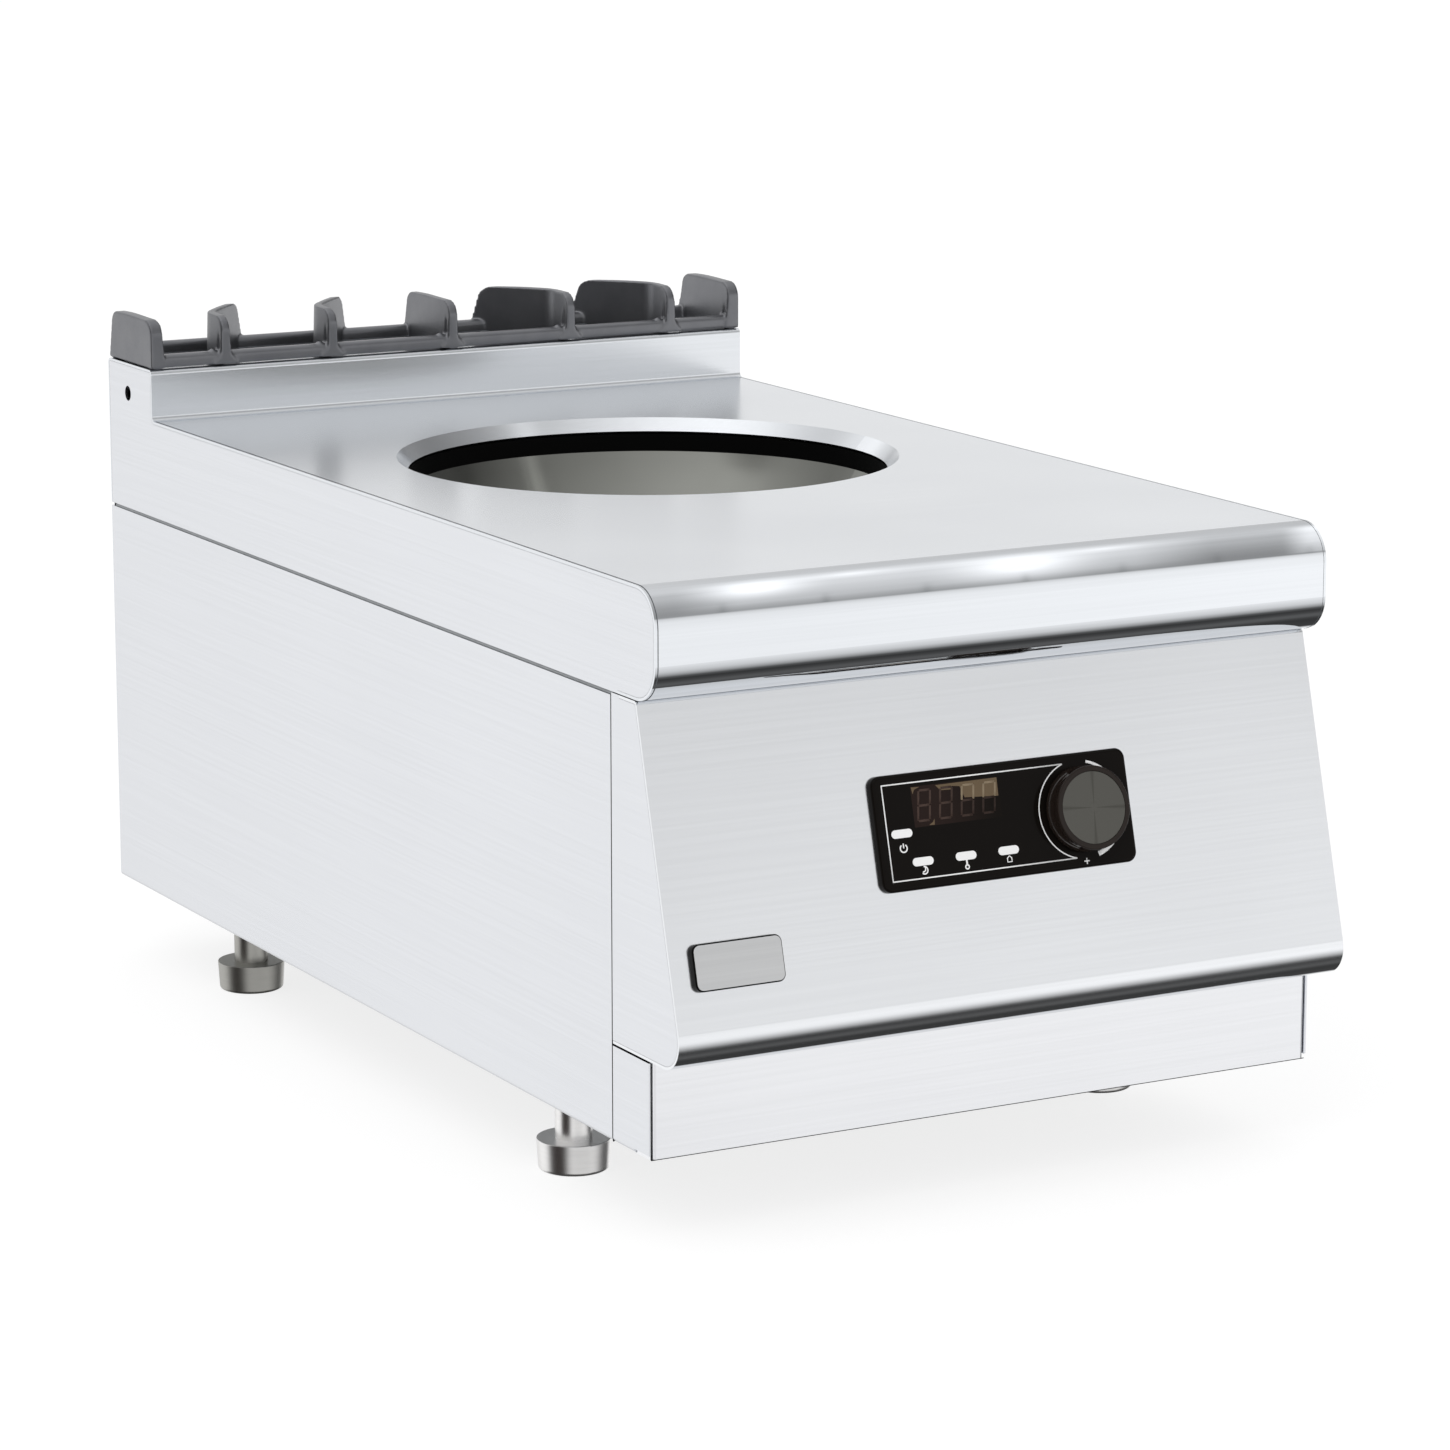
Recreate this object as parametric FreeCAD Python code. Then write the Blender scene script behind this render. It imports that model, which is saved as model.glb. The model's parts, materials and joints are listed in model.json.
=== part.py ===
import FreeCAD, Part
import math
import os

from FreeCAD import Placement, Rotation, Vector

# A countertop induction wok module: a sheet steel body on four levelling feet, a pressed worktop
# with a round well, a slanted control fascia, and a cast grate over the air outlet at the back.
# Millimetres. X runs to the right, Y to the back, Z up from the floor. The origin is on the floor,
# in the middle of the width and of the depth.

# Overall sizes
width = 400.0
depth = 730.0
worktop_z = 340.0
upstand_height = 30.5
body_z = 48.0

# Sheet steel
worktop_sheet = 1.5
body_sheet = 1.2
fascia_sheet = 1.5
base_sheet = 1.5
weld_gap = 0.15
panel_gap = 0.2
bend = 2.5
past = 1.0
same_point = 1e-6

# Worktop: rolled front edge, upstand and skirt
skirt_height = 58.0
nose_overhang = 24.0
nose_radius = 20.0
hem_lap = 19.38
upstand_depth = 67.5
upstand_bend = 3.0
skirt_flange = 15.0
skirt_groove = 2.0
link_hole_radius = 4.5
link_hole_inset = 30.2
link_hole_drop = 18.2

# Air outlet in the upstand
outlet_width = 340.0
outlet_margin = 12.0
outlet_corner = 4.0
duct_sheet = 1.0
duct_height = 72.0
duct_side_margin = 5.0

# Wok well in the worktop
well_y = 44.0
rim_radius = 137.0
bevel_run = 6.6
bevel_drop = 7.4
bevel_land = 3.0

# Glass-ceramic bowl, its seal and its support ring
seal_height = 12.0
seal_wall = 4.0
seal_lip = 2.5
seal_clearance = 0.3
bowl_depth = 80.0
bowl_glass = 5.0
bowl_flange = 15.0
support_sheet = 2.0
support_width = 24.5
post_count = 6
post_offset = 22.0
post_radius = 5.0
stud_radius = 3.0
stud_clearance = 0.3
stud_tail = 8.0
nut_height = 5.0
nut_radius = 5.8

# Induction coil under the bowl
coil_gap = 3.0
coil_thick = 5.0
coil_inner = 35.0
coil_inset = 19.0
carrier_thick = 2.5
carrier_slot_count = 6
carrier_slot_angle = 34.0
ferrite_count = 8
ferrite_thick = 6.0
ferrite_width = 14.0
stack_gap = 0.3
dish_gap = 0.8
dish_steps = 7
sensor_radius = 5.2
sensor_collar = 9.0
sensor_length = 20.0

# Side panels, rails and rear panel
side_setback = 27.38
side_flange = 16.0
gap_front = 1.0
rail_height = 30.0
rail_sheet = 1.5
rear_screw_rows = 4
screw_head_radius = 4.0
screw_radius = 2.0
screw_length = 10.0
screw_clearance = 0.1

# Base plate, air intake and cooling fan
base_wall = 26.0
fan_size = 120.0
fan_thick = 25.0
fan_bore = 57.0
fan_y = -110.0
fan_hub = 20.0
fan_hub_height = 18.0
fan_blade_count = 7
fan_blade_tip = 54.5
fan_blade_thick = 1.6
fan_pitch_root = 42.0
fan_pitch_tip = 26.0
fan_root_chord = 0.7
fan_shaft = 2.5
fan_shaft_clearance = 0.05
fan_spoke = 5.0
fan_spoke_count = 4
fan_float = 0.5
fan_screw_pitch = 105.0
intake_radius = 56.0
guard_wire = 2.0
guard_rings = 4
guard_ring_step = 12.0
guard_ring_first = 18.0
slot_count = 9
slot_length = 70.0
slot_width = 5.0
slot_pitch = 14.0
slot_first_y = 140.0

# Slanted fascia with a rolled lower edge
fascia_setback = 44.62
fascia_top_gap = 0.6
fascia_bottom_z = 100.0
lip_radius = 16.0
fascia_flange = 18.0

# Plinth
plinth_setback = 32.0
plinth_gap = 1.2
plinth_flange = 16.0
plinth_lap = 20.0

# Control panel on the fascia, measured along the slope from the fascia's top edge
panel_x = 0.7
panel_width = 152.6
panel_height = 59.6
panel_thick = 3.8
panel_corner = 5.5
panel_edge = 0.8
panel_round = 1.8
film_gap = 0.05
panel_drop = 51.7
cutout_margin = 4.0
display_x = -27.0
display_drop = 69.3
display_width = 53.0
display_height = 19.6
display_skin = 0.8
lens_length = 12.3
lens_width = 4.3
lens_clearance = 0.05
power_lens_x = -61.4
power_lens_drop = 82.0
mode_lens_x = -51.1
mode_lens_pitch = 25.46
mode_lens_count = 3
mode_lens_drop = 97.2
board_thick = 1.6
board_depth = 8.0
control_box_depth = 34.0
control_box_wall = 2.0
control_box_rim = 3.0
boss_radius = 3.0

# Knob on a push-and-turn encoder
knob_x = 46.5
knob_drop = 81.0
knob_base_radius = 22.4
knob_rim_radius = 21.8
knob_height = 11.2
knob_standoff = 1.2
knob_wall = 2.0
knob_groove = 0.8
knob_groove_place = 0.62
knob_hub_radius = 6.0
knob_face_radius = 18.9
knob_face_thick = 0.8
knob_face_edge = 0.3
shaft_radius = 3.0
shaft_fit = 0.06
shaft_float = 1.4
encoder_size = 14.0
encoder_height = 7.0
encoder_wall = 0.8
bushing_radius = 4.5
bushing_reach = 3.6
rotor_radius = 5.8
rotor_thick = 2.6

# Badge plate, bare
badge_x = -162.8
badge_drop = 135.5
badge_width = 51.0
badge_height = 24.0
badge_thick = 3.5
badge_corner = 4.0
badge_edge = 1.0

# Power electronics
tray_half_width = 124.0
tray_flange = 14.0
tray_z = 84.0
tray_front_y = -210.0
tray_back_y = 110.0
sink_half_width = 60.0
sink_length = 160.0
sink_base = 8.0
sink_fin_height = 32.0
sink_fin_count = 13
sink_fin_thick = 2.0
module_count = 3
module_length = 34.0
module_width = 40.0
module_height = 10.0
module_corner = 3.0
board_margin = 6.0
board_z = 148.0
spacer_radius = 4.0
spacer_inset = 12.0
capacitor_count = 3
capacitor_radius = 17.5
capacitor_height = 45.0
capacitor_edge = 2.0
choke_ring = 18.0
choke_wire = 8.0
terminal_width = 62.0
terminal_depth = 26.0
terminal_height = 28.0
terminal_ways = 5

# Supply cable gland and earth stud under the base
gland_x = 110.0
gland_y = 325.0
gland_bore = 6.5
gland_thread = 10.0
gland_hex = 13.5
gland_dome = 12.0
gland_drop = 25.0
gland_reach = 12.0
earth_x = -120.0
earth_y = 335.0
earth_radius = 3.0
earth_length = 22.0

# Levelling feet
foot_x = 165.5
foot_front_y = -182.0
foot_rear_y = 245.0
foot_radius = 20.0
foot_height = 17.0
foot_taper = 1.0
foot_edge = 2.0
foot_stem = 10.0
foot_stem_top = 92.0
foot_fit = 0.06
foot_hole_clearance = 0.5
socket_wall = 3.0
socket_height = 47.0
socket_plate = 50.0
socket_plate_thick = 3.0

# Cast grate on the upstand
grate_pad = 0.8
grate_pad_radius = 3.5
grate_inset = 0.5
bar_width = 8.5
bar_height = 7.7
bar_round = 3.0
bar_edge = 1.0
bar_setback = 0.8
fin_height = 29.2
fin_shoulder = 9.5
fin_rear_round = 7.0
fin_crown = 1.0
fin_crown_place = 0.62
fin_crown_round = 300.0
fin_rear_rake = 5.8
fin_top_width = 5.0
fin_base_width = 7.0
end_fin_top = 7.2
end_fin_base = 9.0
fin_lean = math.tan(math.radians(40.0))
fin_straight = 24.7
fin_bend = 20.0
fin_reach = 20.0
outer_fin_x = 151.0
inner_fin_x = 80.8
foot_flare = 5.5
foot_flare_height = 7.0
foot_flare_round = 9.0
foot_flare_depth = 5.0
groove_place = 4.6
groove_depth = 1.6
groove_foot = 2.6
groove_top = 1.2
lump_radius = 2.6
lug_length = 6.0
lug_depth = 5.0
lug_clearance = 0.6

# Derived places
half = width / 2
front_y = -depth / 2
back_y = depth / 2
upstand_z = worktop_z + upstand_height
skirt_z = worktop_z - skirt_height
nose_y = front_y + nose_overhang
upstand_y = back_y - upstand_depth
slant_top_y = front_y + fascia_setback
side_front_y = slant_top_y + side_setback
side_top_z = skirt_z - skirt_groove
base_z = body_z + body_sheet
floor_z = base_z + base_sheet
seal_z = worktop_z - bevel_drop - seal_height
bevel_radius = rim_radius + bevel_run
coil_outer = rim_radius - coil_inset
bowl_sphere = (rim_radius ** 2 + bowl_depth ** 2) / (2 * bowl_depth)
bowl_centre_z = seal_z + bowl_sphere - bowl_depth
coil_sphere = bowl_sphere + bowl_glass + coil_gap
carrier_sphere = coil_sphere + coil_thick + dish_gap
ferrite_sphere = carrier_sphere + carrier_thick + dish_gap
support_z = seal_z - bowl_glass - support_sheet
lip_to_top = (fascia_setback - lip_radius, skirt_z - fascia_bottom_z - lip_radius)
fascia_slope = math.atan(lip_to_top[0] / lip_to_top[1]) + math.asin(lip_radius / math.hypot(*lip_to_top))
slope_sin = math.sin(fascia_slope)
slope_cos = math.cos(fascia_slope)
slope_tan = slope_sin / slope_cos
fascia_top_z = skirt_z - fascia_top_gap
tray_top_z = tray_z + base_sheet
sink_top_z = tray_top_z + sink_fin_height + sink_base
grate_z = upstand_z + grate_pad
outlet_front_y = upstand_y + outlet_margin
outlet_back_y = back_y - outlet_margin
grate_front_y = upstand_y + grate_inset
grate_back_y = back_y - grate_inset
knob_seat = panel_thick + knob_standoff
panel_tilt = Rotation(Vector(1, 0, 0), 90.0 - math.degrees(fascia_slope))
origin = Vector(0, 0, 0)
up = Vector(0, 0, 1)


# Shaping: points on a plane, rounded runs and folded sheet
def on_yz(u, v):
    return Vector(0, u, v)


def on_xz(u, v):
    return Vector(u, 0, v)


def on_xy(u, v):
    return Vector(u, v, 0)


def direction(start, end):
    length = math.dist(start, end)
    return (end[0] - start[0]) / length, (end[1] - start[1]) / length


def corner_arc(before, corner, after, radius):
    """Start, middle and end of the arc that rounds a corner."""
    a = direction(corner, before)
    b = direction(corner, after)
    half_angle = math.acos(a[0] * b[0] + a[1] * b[1]) / 2
    reach = radius / math.tan(half_angle)
    middle = direction((0, 0), (a[0] + b[0], a[1] + b[1]))
    inner = radius / math.sin(half_angle) - radius
    start = (corner[0] + a[0] * reach, corner[1] + a[1] * reach)
    end = (corner[0] + b[0] * reach, corner[1] + b[1] * reach)
    return start, (corner[0] + middle[0] * inner, corner[1] + middle[1] * inner), end


def line(start, end, plane):
    """One straight edge, or none where two arcs meet."""
    return [Part.makeLine(plane(*start), plane(*end))] if math.dist(start, end) > same_point else []


def run_edges(points, radii, plane):
    """Straight runs through the points, each inner corner rounded to its radius."""
    edges = []
    last = points[0]
    for before, corner, after, radius in zip(points, points[1:], points[2:], radii):
        if radius > 0:
            start, middle, end = corner_arc(before, corner, after, radius)
            edges += line(last, start, plane)
            edges.append(Part.Arc(plane(*start), plane(*middle), plane(*end)).toShape())
            last = end
        else:
            edges += line(last, corner, plane)
            last = corner
    return edges + line(last, points[-1], plane)


def face_of(edges):
    return Part.Face(Part.Wire(Part.sortEdges(edges)[0]))


def outline(points, radii, plane):
    """A closed face whose corners are rounded; it starts midway along its last side."""
    last = points[-1]
    middle = ((points[0][0] + last[0]) / 2, (points[0][1] + last[1]) / 2)
    return face_of(run_edges([middle] + points + [middle], radii, plane))


def turns_left(before, corner, after):
    a = direction(before, corner)
    b = direction(corner, after)
    return a[0] * b[1] - a[1] * b[0] > 0


def offset_run(points, distance):
    """The same run moved to its left by a distance."""
    moved = []
    for index, point in enumerate(points):
        before = points[max(index - 1, 0)]
        after = points[min(index + 1, len(points) - 1)]
        a = direction(before, point) if index else direction(point, after)
        b = direction(point, after) if index < len(points) - 1 else a
        scale = distance / (1 + a[0] * b[0] + a[1] * b[1])
        moved.append((point[0] - (a[1] + b[1]) * scale, point[1] + (a[0] + b[0]) * scale))
    return moved


def offset_radii(points, radii, distance):
    moved = []
    for before, corner, after, radius in zip(points, points[1:], points[2:], radii):
        change = -distance if turns_left(before, corner, after) else distance
        moved.append(radius + change)
    return moved


def folded(points, radii, thickness, plane):
    """The cut face of a folded sheet: the run is its outer side and the metal lies to its left."""
    inner = offset_run(points, thickness)
    inner_radii = offset_radii(points, radii, thickness)
    edges = run_edges(points, radii, plane) + run_edges(inner, inner_radii, plane)
    return face_of(edges + line(points[0], inner[0], plane) + line(points[-1], inner[-1], plane))


def across(face, x0, x1):
    return face.translated(Vector(x0, 0, 0)).extrude(Vector(x1 - x0, 0, 0))


def along(face, y0, y1):
    return face.translated(Vector(0, y0, 0)).extrude(Vector(0, y1 - y0, 0))


def rising(face, z0, z1):
    return face.translated(Vector(0, 0, z0)).extrude(Vector(0, 0, z1 - z0))


def box(x0, x1, y0, y1, z0, z1):
    return Part.makeBox(x1 - x0, y1 - y0, z1 - z0, Vector(x0, y0, z0))


def post(radius, x, y, z0, z1):
    return Part.makeCylinder(radius, z1 - z0, Vector(x, y, z0))


def tube(outer, inner, x, y, z0, z1):
    return post(outer, x, y, z0, z1).cut(post(inner, x, y, z0, z1))


def hexagon(radius, x, y, z0, z1):
    return rising(outline(ring_places(6, radius, x, y, 0), [0] * 6, on_xy), z0, z1)


def rounded_plate(x, y, size_x, size_y, corner, z0, z1):
    corners = [(x - size_x / 2, y - size_y / 2), (x + size_x / 2, y - size_y / 2),
               (x + size_x / 2, y + size_y / 2), (x - size_x / 2, y + size_y / 2)]
    return rising(outline(corners, [corner] * 4, on_xy), z0, z1)


def turned(points, radii, x, y):
    """A solid turned about an upright axis from its half section."""
    return outline(points, radii, on_xz).revolve(origin, up, 360).translated(Vector(x, y, 0))


def spun(shape, angle):
    """A copy swung about the upright line through the origin."""
    copy = shape.copy()
    copy.rotate(origin, up, angle)
    return copy


def fused(shapes):
    return shapes[0].multiFuse(shapes[1:]).removeSplitter()


def mirrored(shape):
    return shape.mirror(origin, Vector(1, 0, 0))


def ring_places(count, radius, x, y, first):
    angles = [math.radians(first + 360 / count * k) for k in range(count)]
    return [(x + radius * math.cos(angle), y + radius * math.sin(angle)) for angle in angles]


def round_edges_at(shape, z, radius):
    """Round every edge that lies in the level z."""
    edges = [edge for edge in shape.Edges
             if abs(edge.BoundBox.ZMin - z) < weld_gap and abs(edge.BoundBox.ZMax - z) < weld_gap]
    return shape.makeFillet(radius, edges)


def save(name, shape):
    shape.exportStep("parts/" + name + ".step")


# Worktop
def worktop_run():
    return [(back_y, skirt_z), (back_y, upstand_z), (upstand_y, upstand_z), (upstand_y, worktop_z),
            (nose_y, worktop_z), (nose_y, skirt_z), (slant_top_y + hem_lap, skirt_z)]


def worktop_radii():
    return [upstand_bend, upstand_bend, upstand_bend, nose_radius, nose_radius]


def well_bevel():
    """The pressed collar of the well, cut square at its lower edge."""
    slope = direction((bevel_radius, worktop_z), (rim_radius, worktop_z - bevel_drop))
    lean = -slope[1] * worktop_sheet
    rise = slope[0] * worktop_sheet
    under_z = worktop_z - worktop_sheet
    back = (under_z - (worktop_z + rise)) / slope[1]
    section = [(bevel_radius + bevel_land, under_z), (bevel_radius + bevel_land, worktop_z),
               (bevel_radius, worktop_z), (rim_radius, worktop_z - bevel_drop),
               (rim_radius + lean, worktop_z - bevel_drop + rise),
               (bevel_radius + lean + slope[0] * back, under_z)]
    return turned(section, [0] * 6, 0, well_y)


def outlet_hole():
    middle_y = (outlet_front_y + outlet_back_y) / 2
    return rounded_plate(0, middle_y, outlet_width, outlet_back_y - outlet_front_y, outlet_corner,
                         upstand_z - 2 * worktop_sheet, upstand_z + worktop_sheet)


def make_worktop():
    sheet = across(folded(worktop_run(), worktop_radii(), worktop_sheet, on_yz), -half, half)
    well = post(bevel_radius + bevel_land, 0, well_y, worktop_z - 2 * worktop_sheet, worktop_z + past)
    return fused([sheet.cut(well).cut(outlet_hole()), well_bevel()])


def make_worktop_end():
    """Left end plate, welded inside the wrapped sheet, with the hole that links two modules."""
    inset = worktop_sheet + weld_gap
    run = offset_run(worktop_run(), inset)
    radii = offset_radii(worktop_run(), worktop_radii(), inset)
    hem_end = worktop_run()[-1]
    edges = run_edges(run, radii, on_yz) + line(run[-1], hem_end, on_yz) + line(hem_end, run[0], on_yz)
    plate = across(face_of(edges), -half, -half + worktop_sheet)
    flange = box(-half, -half + skirt_flange, hem_end[0], run[0][0], skirt_z, skirt_z + worktop_sheet)
    hole = Part.makeCylinder(link_hole_radius, 4 * worktop_sheet, Vector(
        -half - worktop_sheet, back_y - link_hole_inset, upstand_z - link_hole_drop), Vector(1, 0, 0))
    return fused([plate, flange]).cut(hole)


def make_flue_duct():
    """Open sheet duct that leads the cooling air up to the outlet."""
    inner_y0 = upstand_y + worktop_sheet + weld_gap + duct_sheet
    inner_y1 = back_y - worktop_sheet - weld_gap - duct_sheet
    inner_x = outlet_width / 2 + duct_side_margin
    top_z = upstand_z - upstand_bend
    outer = box(-inner_x - duct_sheet, inner_x + duct_sheet, inner_y0 - duct_sheet, inner_y1 + duct_sheet,
                top_z - duct_height, top_z)
    inner = box(-inner_x, inner_x, inner_y0, inner_y1, top_z - duct_height - past, top_z + past)
    return outer.cut(inner)


# Wok well: seal, bowl and what holds them
def make_bowl_seal():
    inner = rim_radius + weld_gap
    top_z = worktop_z - bevel_drop - worktop_sheet - seal_clearance
    outer = rim_radius + bowl_flange
    section = [(inner, seal_z), (outer, seal_z), (outer, seal_z + seal_lip),
               (inner + seal_wall, seal_z + seal_lip), (inner + seal_wall, top_z), (inner, top_z)]
    return turned(section, [0] * 6, 0, well_y)


def sphere_point(radius, angle):
    """A point at an angle from straight down on a sphere about the bowl's centre."""
    return radius * math.sin(angle), bowl_centre_z - radius * math.cos(angle)


def sphere_angle_at(radius, z):
    return math.acos((bowl_centre_z - z) / radius)


def make_wok_bowl():
    inner_end = sphere_angle_at(bowl_sphere, seal_z)
    outer_end = sphere_angle_at(bowl_sphere + bowl_glass, seal_z - bowl_glass)
    low = on_xz(*sphere_point(bowl_sphere, 0))
    rim = on_xz(*sphere_point(bowl_sphere, inner_end))
    flange_top = on_xz(rim_radius + bowl_flange, seal_z)
    flange_low = on_xz(rim_radius + bowl_flange, seal_z - bowl_glass)
    neck = on_xz(*sphere_point(bowl_sphere + bowl_glass, outer_end))
    bottom = on_xz(*sphere_point(bowl_sphere + bowl_glass, 0))
    inner_arc = Part.Arc(low, on_xz(*sphere_point(bowl_sphere, inner_end / 2)), rim)
    outer_arc = Part.Arc(neck, on_xz(*sphere_point(bowl_sphere + bowl_glass, outer_end / 2)), bottom)
    section = face_of([inner_arc.toShape(), Part.makeLine(rim, flange_top),
                       Part.makeLine(flange_top, flange_low), Part.makeLine(flange_low, neck),
                       outer_arc.toShape(), Part.makeLine(bottom, low)])
    return section.revolve(origin, up, 360).translated(Vector(0, well_y, 0))


def post_places():
    return ring_places(post_count, rim_radius + post_offset, 0, well_y, 180 / post_count)


def stud_holes(z0, z1):
    return Part.makeCompound([post(stud_radius + stud_clearance, x, y, z0, z1) for x, y in post_places()])


def make_support_ring():
    """Flat ring under the bowl's flange, with a hole at each post."""
    inner = rim_radius + bowl_glass
    ring = tube(inner + support_width, inner, 0, well_y, support_z, support_z + support_sheet)
    return ring.cut(stud_holes(support_z - past, support_z + support_sheet + past))


def make_support_posts():
    """Shouldered posts welded under the worktop; the thin ends pass through ring and carrier."""
    shoulder_z = support_z + support_sheet
    tail_z = support_z - carrier_thick - stud_tail
    under_z = worktop_z - worktop_sheet
    return Part.makeCompound([fused([post(post_radius, x, y, shoulder_z, under_z),
                                     post(stud_radius, x, y, tail_z, shoulder_z)])
                              for x, y in post_places()])


def make_support_nuts():
    top_z = support_z - carrier_thick
    return Part.makeCompound([hexagon(nut_radius, x, y, top_z - nut_height, top_z).cut(
        post(stud_radius + screw_clearance, x, y, top_z - nut_height - past, top_z + past))
        for x, y in post_places()])


def dish(inner_sphere, thickness, start, end):
    """A stepped cone band that follows a sphere about the bowl's centre."""
    angles = [start + (end - start) / dish_steps * k for k in range(dish_steps + 1)]
    corners = [sphere_point(inner_sphere, angle) for angle in angles]
    corners += [sphere_point(inner_sphere + thickness, angle) for angle in reversed(angles)]
    return turned(corners, [0] * len(corners), 0, 0)


def make_coil():
    start = math.asin(coil_inner / coil_sphere)
    end = math.asin(coil_outer / coil_sphere)
    return dish(coil_sphere, coil_thick, start, end).translated(Vector(0, well_y, 0))


def make_coil_carrier():
    """Moulded dish with radial air slots, hung by its flange under the support ring."""
    start = math.asin((sensor_radius + panel_gap) / carrier_sphere)
    flange_z = support_z - carrier_thick
    end = sphere_angle_at(carrier_sphere, flange_z + carrier_thick / 2)
    shell = dish(carrier_sphere, carrier_thick, start, end)
    inner = sphere_point(carrier_sphere, end)[0] - past
    flange = tube(rim_radius + bowl_glass + support_width, inner, 0, 0, flange_z, support_z)
    body = fused([shell, flange]).translated(Vector(0, well_y, 0))
    slots = [air_slot(360 / carrier_slot_count * k) for k in range(carrier_slot_count)]
    return body.cut(Part.makeCompound(slots)).cut(stud_holes(flange_z - past, support_z + past))


def air_slot(angle):
    """A wedge that opens the carrier between two of its arms."""
    spread = math.radians(carrier_slot_angle / 2)
    inner = coil_inner + ferrite_width
    outer = coil_outer - ferrite_width
    corners = [(inner * math.cos(spread), -inner * math.sin(spread)),
               (outer * math.cos(spread), -outer * math.sin(spread)),
               (outer * math.cos(spread), outer * math.sin(spread)),
               (inner * math.cos(spread), inner * math.sin(spread))]
    wedge = rising(outline(corners, [panel_corner] * 4, on_xy), floor_z, support_z - carrier_thick)
    return spun(wedge, angle).translated(Vector(0, well_y, 0))


def make_ferrites():
    start = math.asin(coil_inner / ferrite_sphere)
    end = math.asin(coil_outer / ferrite_sphere)
    band = dish(ferrite_sphere, ferrite_thick, start, end)
    bar = band.common(box(0, half, -ferrite_width / 2, ferrite_width / 2, 0, worktop_z))
    bars = [spun(bar, 360 / ferrite_count * (k + 0.5)) for k in range(ferrite_count)]
    return Part.makeCompound(bars).translated(Vector(0, well_y, 0))


def make_sensor():
    """Temperature probe that touches the bowl's underside, with its collar under the carrier."""
    top_z = bowl_centre_z - bowl_sphere - bowl_glass - stack_gap
    collar_z = bowl_centre_z - carrier_sphere - carrier_thick - stack_gap
    return fused([post(sensor_radius, 0, well_y, collar_z - past, top_z),
                  post(sensor_collar, 0, well_y, top_z - sensor_length, collar_z)])


# Side panels, rails and rear panel
def make_side_panel():
    """Left panel: bottom, front and rear edges are folded inwards."""
    run = [(-half, side_top_z), (-half, body_z), (-half + side_flange, body_z)]
    skin = along(folded(run, [bend], body_sheet, on_xz), side_front_y, back_y)
    inner_x = -half + body_sheet
    rear_y = back_y - 2 * body_sheet - panel_gap
    low_z = floor_z + panel_gap
    high_z = side_top_z - rail_height - gap_front
    front = box(inner_x, inner_x + side_flange, side_front_y, side_front_y + body_sheet, low_z, high_z)
    rear = box(inner_x, inner_x + side_flange, rear_y, rear_y + body_sheet, low_z, side_top_z)
    return fused([skin, front, rear]).cut(rear_screws(screw_clearance))


def make_side_rail():
    """Left angle rail that carries the worktop and shows as the back of the groove."""
    outer_x = -half + body_sheet + panel_gap
    run = [(outer_x + side_flange, skirt_z), (outer_x, skirt_z), (outer_x, skirt_z - rail_height)]
    rear_y = back_y - 2 * body_sheet - 2 * panel_gap
    return along(folded(run, [bend], rail_sheet, on_xz), side_front_y + panel_gap, rear_y)


def rear_screw_places():
    x = half - body_sheet - side_flange / 2
    low_z = floor_z + side_flange
    step = (side_top_z - side_flange - low_z) / (rear_screw_rows - 1)
    return [(sign * x, low_z + step * k) for sign in (-1, 1) for k in range(rear_screw_rows)]


def rear_screw(x, z, extra):
    """A countersunk screw that ends flush with the rear panel; extra makes its clearance hole."""
    head = Part.makeCone(screw_head_radius + extra, screw_radius + extra, body_sheet,
                         Vector(x, back_y, z), Vector(0, -1, 0))
    shank = Part.makeCylinder(screw_radius + extra, screw_length, Vector(x, back_y, z), Vector(0, -1, 0))
    return fused([head, shank])


def rear_screws(extra):
    return Part.makeCompound([rear_screw(x, z, extra) for x, z in rear_screw_places()])


def make_rear_panel():
    edge_x = half - body_sheet - panel_gap
    panel = box(-edge_x, edge_x, back_y - body_sheet, back_y, body_z + bend, skirt_z - panel_gap)
    return panel.cut(rear_screws(screw_clearance))


# Base plate, intake and fan
def foot_places():
    return [(sign * foot_x, y) for y in (foot_front_y, foot_rear_y) for sign in (-1, 1)]


def fan_corners():
    reach = fan_screw_pitch / 2
    return [(sx * reach, fan_y + sy * reach) for sx in (-1, 1) for sy in (-1, 1)]


def base_slots():
    return Part.makeCompound([rounded_plate(0, slot_first_y + slot_pitch * k, slot_length, slot_width,
                                            slot_width / 2, body_z, floor_z + past)
                              for k in range(slot_count)])


def base_holes():
    """Openings for the fan, the feet, the gland, the earth stud and the fan screws."""
    low_z = body_z
    high_z = floor_z + past
    holes = [post(intake_radius, 0, fan_y, low_z, high_z),
             post(gland_thread + panel_gap, gland_x, gland_y, low_z, high_z),
             post(earth_radius + panel_gap, earth_x, earth_y, low_z, high_z)]
    holes += [post(foot_stem + foot_hole_clearance, x, y, low_z, high_z) for x, y in foot_places()]
    holes += [post(screw_radius + panel_gap, x, y, low_z, high_z) for x, y in fan_corners()]
    return Part.makeCompound(holes)


def make_base_plate():
    edge_x = half - body_sheet - panel_gap
    run = [(-edge_x, base_z + base_wall), (-edge_x, base_z), (edge_x, base_z), (edge_x, base_z + base_wall)]
    rear_y = back_y - 2 * body_sheet - 2 * panel_gap
    front_end_y = side_front_y + body_sheet + panel_gap
    tray = along(folded(run, [bend, bend], base_sheet, on_xz), front_end_y, rear_y)
    return tray.cut(base_holes()).cut(base_slots())


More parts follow.
